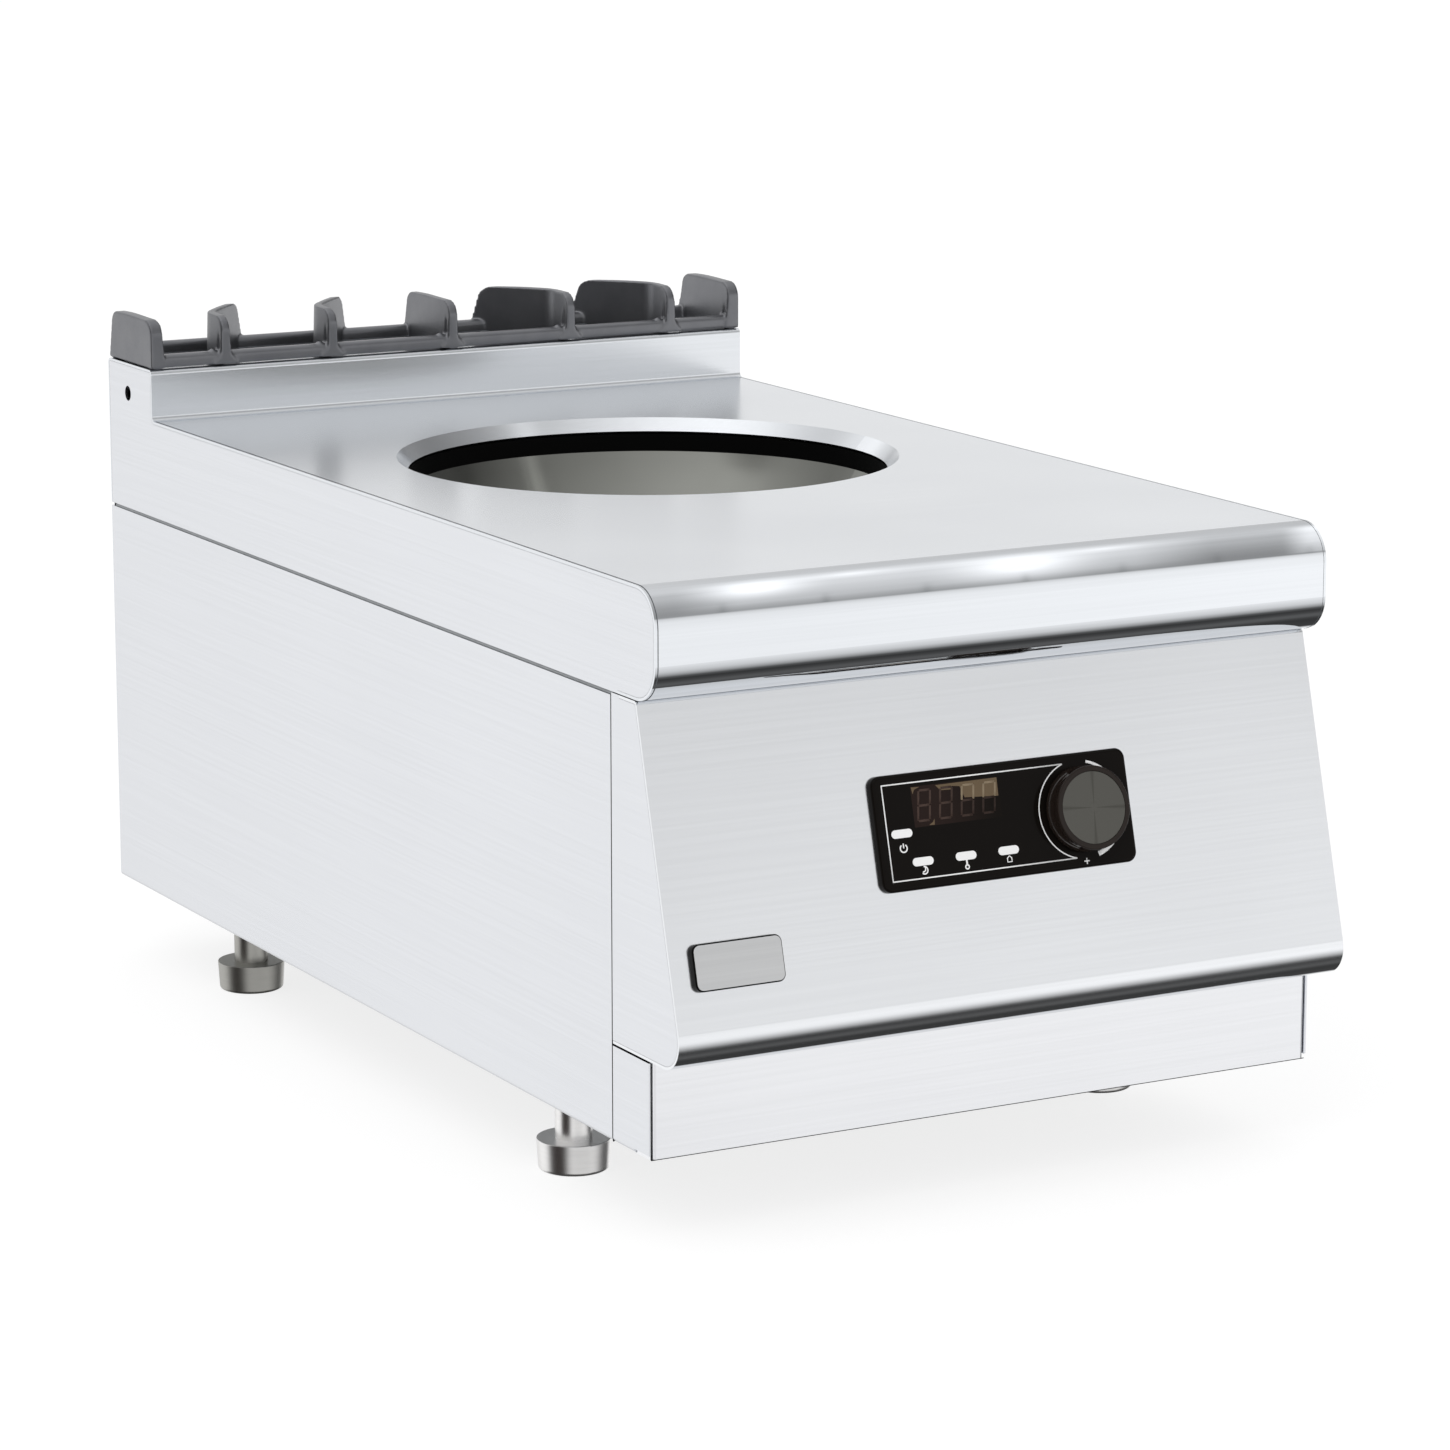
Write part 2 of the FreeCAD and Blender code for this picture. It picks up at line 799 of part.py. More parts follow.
def make_intake_guard():
    """Finger guard of concentric rings on two crossed bars, under the intake."""
    low_z = base_z - guard_wire
    rings = [tube(guard_ring_first + guard_ring_step * k + guard_wire / 2,
                  guard_ring_first + guard_ring_step * k - guard_wire / 2, 0, fan_y, low_z, base_z)
             for k in range(guard_rings)]
    reach = fan_screw_pitch / math.sqrt(2)
    bar = box(-reach, reach, -guard_wire / 2, guard_wire / 2, low_z, base_z)
    bars = [spun(bar, angle).translated(Vector(0, fan_y, 0)) for angle in (45, 135)]
    eyes = [post(screw_head_radius, x, y, low_z, base_z) for x, y in fan_corners()]
    guard = fused(rings + bars + eyes)
    holes = [post(screw_radius + panel_gap, x, y, low_z - past, base_z + past) for x, y in fan_corners()]
    return guard.cut(Part.makeCompound(holes))


def make_fan_screws():
    head_z = base_z - guard_wire
    screws = [fused([post(screw_head_radius, x, y, head_z - screw_radius, head_z),
                     post(screw_radius, x, y, head_z, floor_z + fan_thick)]) for x, y in fan_corners()]
    return Part.makeCompound(screws)


def make_fan_frame():
    """Square frame with a round bore, and a motor hub on spokes at the intake side."""
    half_size = fan_size / 2
    top_z = floor_z + fan_thick
    body = box(-half_size, half_size, fan_y - half_size, fan_y + half_size, floor_z, top_z)
    low_z = floor_z - past
    holes = [post(screw_radius + screw_clearance, x, y, low_z, top_z + past) for x, y in fan_corners()]
    body = body.cut(Part.makeCompound(holes + [post(fan_bore, 0, fan_y, low_z, top_z + past)]))
    hub_z = floor_z + guard_wire + fan_float
    spoke = box(0, fan_bore + past, -fan_spoke / 2, fan_spoke / 2, floor_z, hub_z)
    spokes = [spun(spoke, 360 / fan_spoke_count * k).translated(Vector(0, fan_y, 0))
              for k in range(fan_spoke_count)]
    hub = post(fan_hub - past, 0, fan_y, floor_z, hub_z)
    bore = post(fan_shaft + fan_shaft_clearance, 0, fan_y, low_z, hub_z + past)
    return fused([body, hub] + spokes).cut(bore)


def blade_section(radius, pitch, chord, middle_z):
    """A flat blade section across the radius, tilted to its pitch."""
    angle = math.radians(pitch)
    run = (math.cos(angle) * chord / 2, math.sin(angle) * chord / 2)
    thick = (-math.sin(angle) * fan_blade_thick / 2, math.cos(angle) * fan_blade_thick / 2)
    corners = [(-run[0] - thick[0], -run[1] - thick[1]), (run[0] - thick[0], run[1] - thick[1]),
               (run[0] + thick[0], run[1] + thick[1]), (-run[0] + thick[0], -run[1] + thick[1])]
    return Part.makePolygon([Vector(radius, u, middle_z + v) for u, v in corners + corners[:1]])


def make_fan_rotor():
    """Hub cup with twisted blades, turning on its shaft in the frame's hub."""
    low_z = floor_z + guard_wire + 2 * fan_float
    middle_z = low_z + fan_hub_height / 2
    hub = post(fan_hub, 0, 0, low_z, low_z + fan_hub_height)
    shaft = post(fan_shaft, 0, 0, floor_z + fan_float, low_z)
    chord = fan_hub_height / math.sin(math.radians(fan_pitch_root)) - fan_blade_thick * 2
    sections = [blade_section(fan_hub - 2 * past, fan_pitch_root, chord * fan_root_chord, middle_z),
                blade_section(fan_blade_tip, fan_pitch_tip, chord, middle_z)]
    blade = Part.makeLoft(sections, True, True)
    blades = [spun(blade, 360 / fan_blade_count * k) for k in range(fan_blade_count)]
    return fused([hub, shaft] + blades).translated(Vector(0, fan_y, 0))


# Fascia, cheeks and plinth
def slant_y(z):
    """Where the slanted face of the fascia lies at a height."""
    tangent_y = front_y + lip_radius * (1 - slope_cos)
    tangent_z = fascia_bottom_z + lip_radius * (1 + slope_sin)
    return tangent_y + (z - tangent_z) * slope_tan


def fascia_run():
    return [(slant_y(fascia_top_z) + fascia_flange, fascia_top_z), (slant_y(fascia_top_z), fascia_top_z),
            (slant_y(fascia_bottom_z), fascia_bottom_z),
            (side_front_y - gap_front - panel_gap, fascia_bottom_z)]


def fascia_radii():
    return [bend, lip_radius]


def on_fascia(shape):
    """Place what is drawn flat, X across and Y up the slope, on the fascia's outer face."""
    placed = shape.copy()
    placed.Placement = Placement(Vector(0, slant_y(skirt_z), skirt_z), panel_tilt) * shape.Placement
    return placed


def make_fascia():
    sheet = across(folded(fascia_run(), fascia_radii(), fascia_sheet, on_yz), -half, half)
    cutout = rounded_plate(panel_x, -panel_drop - panel_height / 2, panel_width - 2 * cutout_margin,
                           panel_height - 2 * cutout_margin, panel_corner, -2 * fascia_sheet, fascia_sheet)
    return sheet.cut(on_fascia(cutout))


def make_fascia_cheek():
    """Left cheek, welded inside the wrapped fascia."""
    inset = fascia_sheet + weld_gap
    run = offset_run(fascia_run(), inset)
    radii = offset_radii(fascia_run(), fascia_radii(), inset)
    rear_y = side_front_y - gap_front
    corners = [run[-1], (rear_y, run[-1][1]), (rear_y, fascia_top_z), (run[0][0], fascia_top_z), run[0]]
    edges = run_edges(run, radii, on_yz) + run_edges(corners, [0, 0, 0], on_yz)
    plate = across(face_of(edges), -half, -half + fascia_sheet)
    flange = box(-half, -half + side_flange, rear_y - fascia_sheet, rear_y, fascia_bottom_z + side_flange,
                 fascia_top_z - fascia_flange)
    return fused([plate, flange])


def make_plinth():
    """Plinth front with folded ends, and a bottom fold whose tongue carries it under the base."""
    face_y = front_y + plinth_setback
    edge_x = half - body_sheet - panel_gap
    top_z = fascia_bottom_z - plinth_gap
    run = [(-edge_x, face_y + plinth_flange), (-edge_x, face_y), (edge_x, face_y),
           (edge_x, face_y + plinth_flange)]
    front = rising(folded(run, [bend, bend], body_sheet, on_xy), body_z, top_z)
    shelf = box(-edge_x + body_sheet, edge_x - body_sheet, face_y + body_sheet / 2, face_y + plinth_flange,
                body_z, body_z + body_sheet)
    tongue_x = half - side_flange - panel_gap
    tongue = box(-tongue_x, tongue_x, face_y + body_sheet, side_front_y + plinth_lap, body_z,
                 body_z + body_sheet)
    return fused([front, shelf, tongue])


def make_plinth_return():
    """Left return that closes the plinth's end back to the side panel."""
    face_y = front_y + plinth_setback
    top_z = fascia_bottom_z - plinth_gap
    rear_y = side_front_y - gap_front
    run = [(-half, top_z), (-half, body_z), (-half + side_flange, body_z)]
    folded_part = along(folded(run, [bend], body_sheet, on_xz), face_y + plinth_flange + panel_gap, rear_y)
    skin = box(-half, -half + body_sheet, face_y + panel_gap, face_y + plinth_flange + past,
               body_z + bend, top_z)
    return fused([folded_part, skin])


# Control panel
def lens_places():
    modes = [(mode_lens_x + mode_lens_pitch * k, -mode_lens_drop) for k in range(mode_lens_count)]
    return [(power_lens_x, -power_lens_drop)] + modes


def lens(x, y, extra, z0, z1):
    length = lens_length + 2 * extra
    breadth = lens_width + 2 * extra
    return rounded_plate(x, y, length, breadth, breadth / 2, z0, z1)


def make_panel_cover():
    middle = -panel_drop - panel_height / 2
    plate = rounded_plate(panel_x, middle, panel_width, panel_height, panel_corner, film_gap, panel_thick)
    plate = round_edges_at(plate, panel_thick, panel_round)
    pocket = box(display_x - display_width / 2 - panel_gap, display_x + display_width / 2 + panel_gap,
                 -display_drop - display_height / 2 - panel_gap,
                 -display_drop + display_height / 2 + panel_gap, -past, panel_thick - display_skin)
    holes = [lens(x, y, lens_clearance, -past, panel_thick + past) for x, y in lens_places()]
    holes.append(post(bushing_radius + panel_gap, knob_x, -knob_drop, -past, panel_thick + past))
    return on_fascia(plate.cut(pocket).cut(Part.makeCompound(holes)))


def make_lenses():
    return on_fascia(Part.makeCompound([lens(x, y, 0, -board_depth, panel_thick + lens_clearance)
                                        for x, y in lens_places()]))


def make_display():
    top = panel_thick - display_skin - panel_gap
    return on_fascia(box(display_x - display_width / 2, display_x + display_width / 2,
                         -display_drop - display_height / 2, -display_drop + display_height / 2,
                         -board_depth, top))


def make_control_board():
    middle = -panel_drop - panel_height / 2
    return on_fascia(rounded_plate(panel_x, middle, panel_width - 3 * cutout_margin,
                                   panel_height - 2 * cutout_margin - panel_corner, panel_corner,
                                   -board_depth - board_thick, -board_depth))


def make_control_box():
    """Moulded box behind the fascia; four bosses hold the board."""
    middle = -panel_drop - panel_height / 2
    outer_x = panel_width - control_box_rim
    outer_y = panel_height - control_box_rim
    low = -fascia_sheet - control_box_depth
    outer = rounded_plate(panel_x, middle, outer_x, outer_y, panel_corner, low, -fascia_sheet)
    inner = rounded_plate(panel_x, middle, outer_x - 2 * control_box_wall, outer_y - 2 * control_box_wall,
                          panel_corner - control_box_wall, low + control_box_wall, 0)
    boss_x = (panel_width - 3 * cutout_margin) / 2 - panel_corner
    boss_y = (panel_height - 2 * cutout_margin - panel_corner) / 2 - panel_corner
    bosses = [post(boss_radius, panel_x + sx * boss_x, middle + sy * boss_y, low + past,
                   -board_depth - board_thick) for sx in (-1, 1) for sy in (-1, 1)]
    return on_fascia(fused([outer.cut(inner)] + bosses))


def make_encoder_body():
    """Square encoder housing on the board, with the bushing that guides the shaft."""
    low = -board_depth
    high = low + encoder_height
    body = box(knob_x - encoder_size / 2, knob_x + encoder_size / 2, -knob_drop - encoder_size / 2,
               -knob_drop + encoder_size / 2, low, high)
    bushing = post(bushing_radius, knob_x, -knob_drop, high, high + bushing_reach)
    cavity = post(rotor_radius + panel_gap, knob_x, -knob_drop, low + encoder_wall, high - encoder_wall)
    bore = post(shaft_radius + shaft_fit, knob_x, -knob_drop, high - encoder_wall - past,
                high + bushing_reach + past)
    return on_fascia(fused([body, bushing]).cut(cavity).cut(bore))


def make_encoder_rotor():
    top = -board_depth + encoder_height - encoder_wall - panel_gap
    return on_fascia(tube(rotor_radius, shaft_radius + shaft_fit, knob_x, -knob_drop,
                          top - rotor_thick, top))


def make_knob_shaft():
    low = -board_depth + encoder_wall + shaft_float
    top = knob_seat + knob_height - knob_face_thick - knob_wall
    return on_fascia(post(shaft_radius, knob_x, -knob_drop, low, top))


def make_knob_body():
    """Moulded knob: hollow skirt, a hub on the shaft, a groove and a recess for the face disc."""
    low = knob_seat
    top = knob_seat + knob_height
    deck = top - knob_face_thick - knob_wall
    groove = low + knob_height * knob_groove_place
    face = knob_face_radius + lens_clearance
    section = [(shaft_radius, low + knob_wall), (knob_hub_radius, low + knob_wall),
               (knob_hub_radius, deck), (knob_face_radius - knob_wall, deck),
               (knob_base_radius - knob_wall, low), (knob_base_radius, low),
               (knob_base_radius - knob_groove / 2, groove), (knob_rim_radius - knob_groove, groove),
               (knob_rim_radius - knob_groove, groove + knob_groove),
               (knob_rim_radius, groove + knob_groove), (knob_rim_radius, top), (face, top),
               (face, top - knob_face_thick),
               (0, top - knob_face_thick), (0, deck), (shaft_radius, deck)]
    radii = [0, 0, 0, 0, 0, panel_edge, 0, 0, 0, 0, panel_edge, 0, 0, 0, 0, 0]
    return on_fascia(turned(section, radii, knob_x, -knob_drop))


def make_knob_face():
    top = knob_seat + knob_height - panel_gap / 2
    low = knob_seat + knob_height - knob_face_thick + film_gap
    disc = post(knob_face_radius, knob_x, -knob_drop, low, top)
    return on_fascia(round_edges_at(disc, top, knob_face_edge))


def make_badge_plate():
    plate = rounded_plate(badge_x, -badge_drop, badge_width, badge_height, badge_corner, film_gap,
                          badge_thick)
    return on_fascia(round_edges_at(plate, badge_thick, badge_edge))


# Power electronics
def make_generator_tray():
    """Hat-shaped tray that stands over the fan and carries the power electronics."""
    run = [(-tray_half_width - tray_flange, floor_z), (-tray_half_width, floor_z),
           (-tray_half_width, tray_z), (tray_half_width, tray_z), (tray_half_width, floor_z),
           (tray_half_width + tray_flange, floor_z)]
    tray = along(folded(run, [bend] * 4, base_sheet, on_xz), tray_front_y, tray_back_y)
    return tray.cut(post(intake_radius, 0, fan_y, tray_z - past, tray_top_z + past))


def make_heat_sink():
    """Extruded comb: a thick back with fins that stand on the tray over the fan."""
    back = box(-sink_half_width, sink_half_width, -sink_length / 2, sink_length / 2,
               tray_top_z + sink_fin_height, sink_top_z)
    step = (2 * sink_half_width - sink_fin_thick) / (sink_fin_count - 1)
    fins = []
    for k in range(sink_fin_count):
        x0 = -sink_half_width + step * k
        fins.append(box(x0, x0 + sink_fin_thick, -sink_length / 2, sink_length / 2, tray_top_z,
                        tray_top_z + sink_fin_height))
    return fused([back] + fins).translated(Vector(0, fan_y, 0))


def make_power_modules():
    pitch = sink_length / module_count
    first_y = fan_y - (sink_length - pitch) / 2
    return Part.makeCompound([rounded_plate(0, first_y + pitch * k, module_width, module_length,
                                            module_corner, sink_top_z, sink_top_z + module_height)
                              for k in range(module_count)])


def spacer_places():
    x = tray_half_width - spacer_inset
    ys = (tray_front_y + spacer_inset, (tray_front_y + tray_back_y) / 2, tray_back_y - spacer_inset)
    return [(sign * x, y) for sign in (-1, 1) for y in ys]


def make_board_spacers():
    return Part.makeCompound([post(spacer_radius, x, y, tray_top_z, board_z) for x, y in spacer_places()])


def make_power_board():
    size_x = 2 * (tray_half_width - board_margin)
    size_y = tray_back_y - tray_front_y - 2 * board_margin
    middle_y = (tray_front_y + tray_back_y) / 2
    board = rounded_plate(0, middle_y, size_x, size_y, panel_corner, board_z, board_z + board_thick)
    return board


def make_capacitors():
    """Tall cans in a row at the back of the board."""
    top_z = board_z + board_thick
    y = tray_back_y - 2 * spacer_inset - capacitor_radius
    pitch = 2 * capacitor_radius + spacer_radius
    shoulder_z = top_z + capacitor_height - capacitor_edge
    section = [(0, top_z), (capacitor_radius, top_z), (capacitor_radius, shoulder_z),
               (capacitor_radius - capacitor_edge, shoulder_z + capacitor_edge),
               (0, shoulder_z + capacitor_edge)]
    return Part.makeCompound([turned(section, [0] * 5, -tray_half_width / 2 + pitch * k, y)
                              for k in range(capacitor_count)])


def make_line_choke():
    """Wound ring, its section an octagon that rests on one side."""
    reach = choke_wire / math.cos(math.radians(22.5))
    section = ring_places(8, reach, choke_ring, board_z + board_thick + choke_wire, 22.5)
    return turned(section, [0] * 8, tray_half_width / 2, fan_y)


def make_terminal_block():
    """Insulating block with a screw well over each way."""
    y0 = gland_y - 2 * terminal_depth
    x0 = gland_x - terminal_width
    top_z = floor_z + terminal_height
    block = box(x0, x0 + terminal_width, y0, y0 + terminal_depth, floor_z, top_z)
    pitch = terminal_width / terminal_ways
    wells = [post(stud_radius, x0 + pitch * (k + 0.5), y0 + terminal_depth / 2, top_z - terminal_depth / 2,
                  top_z + past) for k in range(terminal_ways)]
    return block.cut(Part.makeCompound(wells))


# Gland, earth stud and feet
def make_cable_gland():
    """Gland body: hexagon under the base, threaded neck through it."""
    hex_z = base_z - gland_bore
    body = fused([hexagon(gland_hex, gland_x, gland_y, hex_z, base_z),
                  post(gland_thread, gland_x, gland_y, base_z, floor_z + gland_reach)])
    return body.cut(post(gland_bore, gland_x, gland_y, hex_z - past, floor_z + gland_reach + past))


def make_gland_nut():
    """Domed clamping nut below the gland body."""
    high_z = base_z - gland_bore
    low_z = high_z - gland_drop + gland_bore
    section = [(gland_bore, low_z), (gland_dome - bend, low_z), (gland_dome, low_z + 2 * bend),
               (gland_dome, high_z), (gland_bore, high_z)]
    return turned(section, [0, bend, 0, 0, 0], gland_x, gland_y)


def make_gland_locknut():
    top_z = floor_z + nut_height
    bore = post(gland_thread + screw_clearance, gland_x, gland_y, floor_z - past, top_z + past)
    return hexagon(gland_hex, gland_x, gland_y, floor_z, top_z).cut(bore)


def make_earth_stud():
    """Bonding stud with its two nuts, one on each side of the base."""
    top_z = floor_z + nut_height + past
    stud = post(earth_radius, earth_x, earth_y, top_z - earth_length, top_z)
    lower = hexagon(nut_radius, earth_x, earth_y, base_z - nut_height, base_z)
    upper = hexagon(nut_radius, earth_x, earth_y, floor_z, floor_z + nut_height)
    return fused([stud, lower, upper])


def make_foot_sockets():
    """Threaded sockets on square plates, welded inside the base."""
    sockets = []
    for x, y in foot_places():
        plate = rounded_plate(x, y, socket_plate, socket_plate, panel_corner, floor_z,
                              floor_z + socket_plate_thick)
        barrel = post(foot_stem + socket_wall, x, y, floor_z, floor_z + socket_height)
        bore = post(foot_stem + foot_fit, x, y, floor_z - past, floor_z + socket_height + past)
        sockets.append(fused([plate, barrel]).cut(bore))
    return Part.makeCompound(sockets)


def make_foot(x, y):
    """Turned foot: a tapered disc and a long stem."""
    section = [(0, 0), (foot_radius - foot_taper, 0), (foot_radius, foot_height), (foot_stem, foot_height),
               (foot_stem, foot_stem_top), (0, foot_stem_top)]
    return turned(section, [0, foot_edge, foot_taper / 2, 0, 0, 0], x, y)


# Cast grate
def fin_profile():
    """Side view of a fin: rounded front shoulder, crowned top and raked back."""
    top_z = grate_z + fin_height
    crown_y = grate_front_y + upstand_depth * fin_crown_place
    return [(grate_front_y, grate_z), (grate_front_y, top_z - fin_crown), (crown_y, top_z),
            (grate_back_y - fin_rear_rake, top_z - fin_crown), (grate_back_y, grate_z)]


def fin_run(x, lean):
    """Centre line of a fin in plan: straight back from the nose, then bent aside, and on past the back."""
    if not lean:
        return [(x, grate_front_y), (x, grate_back_y + fin_reach)]
    bend_y = grate_front_y + fin_straight
    reach_y = grate_back_y + fin_reach
    return [(x, grate_front_y), (x, bend_y), (x + (reach_y - bend_y) * lean, reach_y)]


def fin_plan(run, width, z):
    """Plan section of a fin at a height."""
    radii = [fin_bend] * (len(run) - 2)
    side = offset_run(run, -width / 2)
    face = folded(side, offset_radii(run, radii, -width / 2), width, on_xy)
    return face.translated(Vector(0, 0, z)).OuterWire


def drafted_fin(base_run, base_width, top_run, top_width):
    """A fin that narrows from its foot to its top, trimmed to the side view."""
    sections = [fin_plan(base_run, base_width, grate_z - past),
                fin_plan(top_run, top_width, grate_z + fin_height + past)]
    side_view = outline(fin_profile(), [0, fin_shoulder, fin_crown_round, fin_rear_round, 0], on_yz)
    return Part.makeLoft(sections, True, True).common(across(side_view, -half, half))


def nose_groove(x):
    """Cutter of the hollow beside the nose; it narrows upwards and runs out below the top."""
    y = grate_front_y + groove_place
    z = grate_z + bar_height - past
    return Part.makeCone(groove_foot, groove_top, fin_height - bar_height, Vector(x, y, z))


def flared_foot(x, half_width):
    """The nose spreads at its foot where it runs into the front bar."""
    z = grate_z
    low = half_width + foot_flare
    knee_z = z + foot_flare_height
    corners = [(x - low, z), (x + low, z), (x + half_width, knee_z), (x + half_width, knee_z + bar_height),
               (x - half_width, knee_z + bar_height), (x - half_width, knee_z)]
    radii = [0, 0, foot_flare_round, 0, 0, foot_flare_round]
    return along(outline(corners, radii, on_xz), grate_front_y, grate_front_y + foot_flare_depth)


def make_fin(x, lean):
    """A middle fin with its hollows, its spread foot and the small lump left of the foot."""
    run = fin_run(x, lean)
    fin = drafted_fin(run, fin_base_width, run, fin_top_width)
    aside = fin_base_width / 2 + groove_foot - groove_depth
    fin = fin.cut(nose_groove(x - aside)).cut(nose_groove(x + aside))
    lump = Part.makeSphere(lump_radius, Vector(x - aside - lump_radius, grate_front_y + groove_place,
                                               grate_z + bar_height - past))
    return [fin, flared_foot(x, fin_top_width / 2), lump]


def make_end_fin():
    """The left end fin: upright outside face and drafted inside face."""
    outside = grate_inset - half
    base_run = fin_run(outside + end_fin_base / 2, 0)
    top_run = fin_run(outside + end_fin_top / 2, 0)
    fin = drafted_fin(base_run, end_fin_base, top_run, end_fin_top)
    return fin.cut(nose_groove(outside + end_fin_base + groove_foot - groove_depth))


def grate_bar(y0):
    corners = [(y0, grate_z), (y0 + bar_width, grate_z), (y0 + bar_width, grate_z + bar_height),
               (y0, grate_z + bar_height)]
    edge = half - grate_inset
    return across(outline(corners, [bar_edge, bar_edge, bar_round, bar_round], on_yz), -edge, edge)


def grate_lugs():
    """Two lugs under the middle fin that drop into the outlet and locate the grate."""
    low_z = upstand_z - lug_depth
    high_z = grate_z + bar_height / 2
    reach = fin_top_width / 2
    front = outlet_front_y + lug_clearance
    rear = outlet_back_y - lug_clearance
    return [box(-reach, reach, front, front + lug_length, low_z, high_z),
            box(-reach, reach, rear - lug_length, rear, low_z, high_z)]


def grate_pads():
    x = half - end_fin_base / 2 - grate_inset
    pad_ys = (grate_front_y + bar_width / 2, grate_back_y - bar_width / 2)
    return [post(grate_pad_radius, px, py, upstand_z, grate_z + past) for px in (-x, 0, x) for py in pad_ys]


def make_grate():
    pieces = [grate_bar(grate_front_y + bar_setback), grate_bar(grate_back_y - bar_width - bar_setback)]
    pieces += [make_end_fin(), mirrored(make_end_fin())] + make_fin(0, 0)
    for x in (inner_fin_x, outer_fin_x):
        pieces += make_fin(-x, fin_lean) + make_fin(x, -fin_lean)
    return fused(pieces + grate_lugs() + grate_pads())


os.makedirs("parts", exist_ok=True)
save("worktop", make_worktop())
save("worktop_end_left", make_worktop_end())
save("worktop_end_right", mirrored(make_worktop_end()))
save("flue_duct", make_flue_duct())
save("bowl_seal", make_bowl_seal())
save("wok_bowl", make_wok_bowl())
save("bowl_support_ring", make_support_ring())
save("support_posts", make_support_posts())
save("support_nuts", make_support_nuts())
save("induction_coil", make_coil())
save("coil_carrier", make_coil_carrier())
save("ferrite_bars", make_ferrites())
save("temperature_sensor", make_sensor())
save("side_panel_left", make_side_panel())
save("side_panel_right", mirrored(make_side_panel()))
save("side_rail_left", make_side_rail())
save("side_rail_right", mirrored(make_side_rail()))
save("rear_panel", make_rear_panel())
save("rear_panel_screws", rear_screws(0))
save("base_plate", make_base_plate())
save("intake_guard", make_intake_guard())
save("fan_screws", make_fan_screws())
save("fan_frame", make_fan_frame())
save("fan_rotor", make_fan_rotor())
save("fascia", make_fascia())
save("fascia_cheek_left", make_fascia_cheek())
save("fascia_cheek_right", mirrored(make_fascia_cheek()))
save("plinth", make_plinth())
save("plinth_return_left", make_plinth_return())
save("plinth_return_right", mirrored(make_plinth_return()))
save("control_panel_cover", make_panel_cover())
save("led_lenses", make_lenses())
save("display_module", make_display())
save("control_board", make_control_board())
save("control_box", make_control_box())
save("encoder_body", make_encoder_body())
save("encoder_rotor", make_encoder_rotor())
save("knob_shaft", make_knob_shaft())
save("knob_body", make_knob_body())
save("knob_face", make_knob_face())
save("badge_plate", make_badge_plate())
save("generator_tray", make_generator_tray())
save("heat_sink", make_heat_sink())
save("power_modules", make_power_modules())
save("board_spacers", make_board_spacers())
save("power_board", make_power_board())
save("capacitors", make_capacitors())
save("line_choke", make_line_choke())
save("terminal_block", make_terminal_block())
save("cable_gland", make_cable_gland())
save("gland_nut", make_gland_nut())
save("gland_locknut", make_gland_locknut())
save("earth_stud", make_earth_stud())
save("foot_sockets", make_foot_sockets())
save("foot_front_left", make_foot(-foot_x, foot_front_y))
save("foot_front_right", make_foot(foot_x, foot_front_y))
save("foot_rear_left", make_foot(-foot_x, foot_rear_y))
save("foot_rear_right", make_foot(foot_x, foot_rear_y))
save("flue_grate", make_grate())
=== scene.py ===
import json
import math

import bmesh
import bpy
from mathutils import Matrix, Vector


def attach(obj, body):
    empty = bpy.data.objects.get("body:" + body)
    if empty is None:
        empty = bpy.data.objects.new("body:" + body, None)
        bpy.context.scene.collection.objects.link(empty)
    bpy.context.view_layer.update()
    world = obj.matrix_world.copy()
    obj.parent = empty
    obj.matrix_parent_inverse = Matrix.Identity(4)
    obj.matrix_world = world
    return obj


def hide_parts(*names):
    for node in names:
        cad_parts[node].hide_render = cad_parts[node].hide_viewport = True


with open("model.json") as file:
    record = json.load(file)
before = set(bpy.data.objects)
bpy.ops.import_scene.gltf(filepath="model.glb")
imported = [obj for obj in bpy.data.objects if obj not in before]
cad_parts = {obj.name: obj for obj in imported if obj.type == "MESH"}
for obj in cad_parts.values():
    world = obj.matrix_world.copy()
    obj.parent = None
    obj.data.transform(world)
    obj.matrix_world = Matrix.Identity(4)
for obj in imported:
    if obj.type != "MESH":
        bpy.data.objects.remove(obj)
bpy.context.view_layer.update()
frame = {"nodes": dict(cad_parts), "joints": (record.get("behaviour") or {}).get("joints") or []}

# The studio: a long lens off the front left corner, a little above the worktop. The room is white all
# round, and rays that leave the object for diffuse light find it a little dimmer, so that pale sheet keeps
# its colour.
lens_mm, turned_left, looks_down = 126.9, -28.744, 11.918
camera_place = (-1.3517, -2.5119, 0.7920)
camera = bpy.data.objects.new("camera", bpy.data.cameras.new("camera"))
camera.data.lens = lens_mm
camera.location = camera_place
camera.rotation_euler = (math.radians(90 - looks_down), 0, math.radians(turned_left))
bpy.context.scene.collection.objects.link(camera)
bpy.context.scene.camera = camera
bpy.context.scene.view_settings.view_transform = "Standard"


def srgb(code):
    """Linear colour of an sRGB hex value."""
    parts = [int(code[start:start + 2], 16) / 255 for start in (1, 3, 5)]
    linear = [part / 12.92 if part <= 0.04045 else ((part + 0.055) / 1.055) ** 2.4 for part in parts]
    return (*linear, 1)


def add_node(owner, kind, settings=None, inputs=None):
    """One shader node; an input is a plain value or the output of another node."""
    tree = owner.node_tree
    added = tree.nodes.new("ShaderNode" + kind)
    for name, value in (settings or {}).items():
        setattr(added, name, value)
    for name, value in (inputs or {}).items():
        if isinstance(value, bpy.types.NodeSocket):
            tree.links.new(value, added.inputs[name])
        else:
            added.inputs[name].default_value = value
    return added


def blank(made):
    """A material or world whose node tree is empty."""
    made.use_nodes = True
    made.node_tree.nodes.clear()
    return made


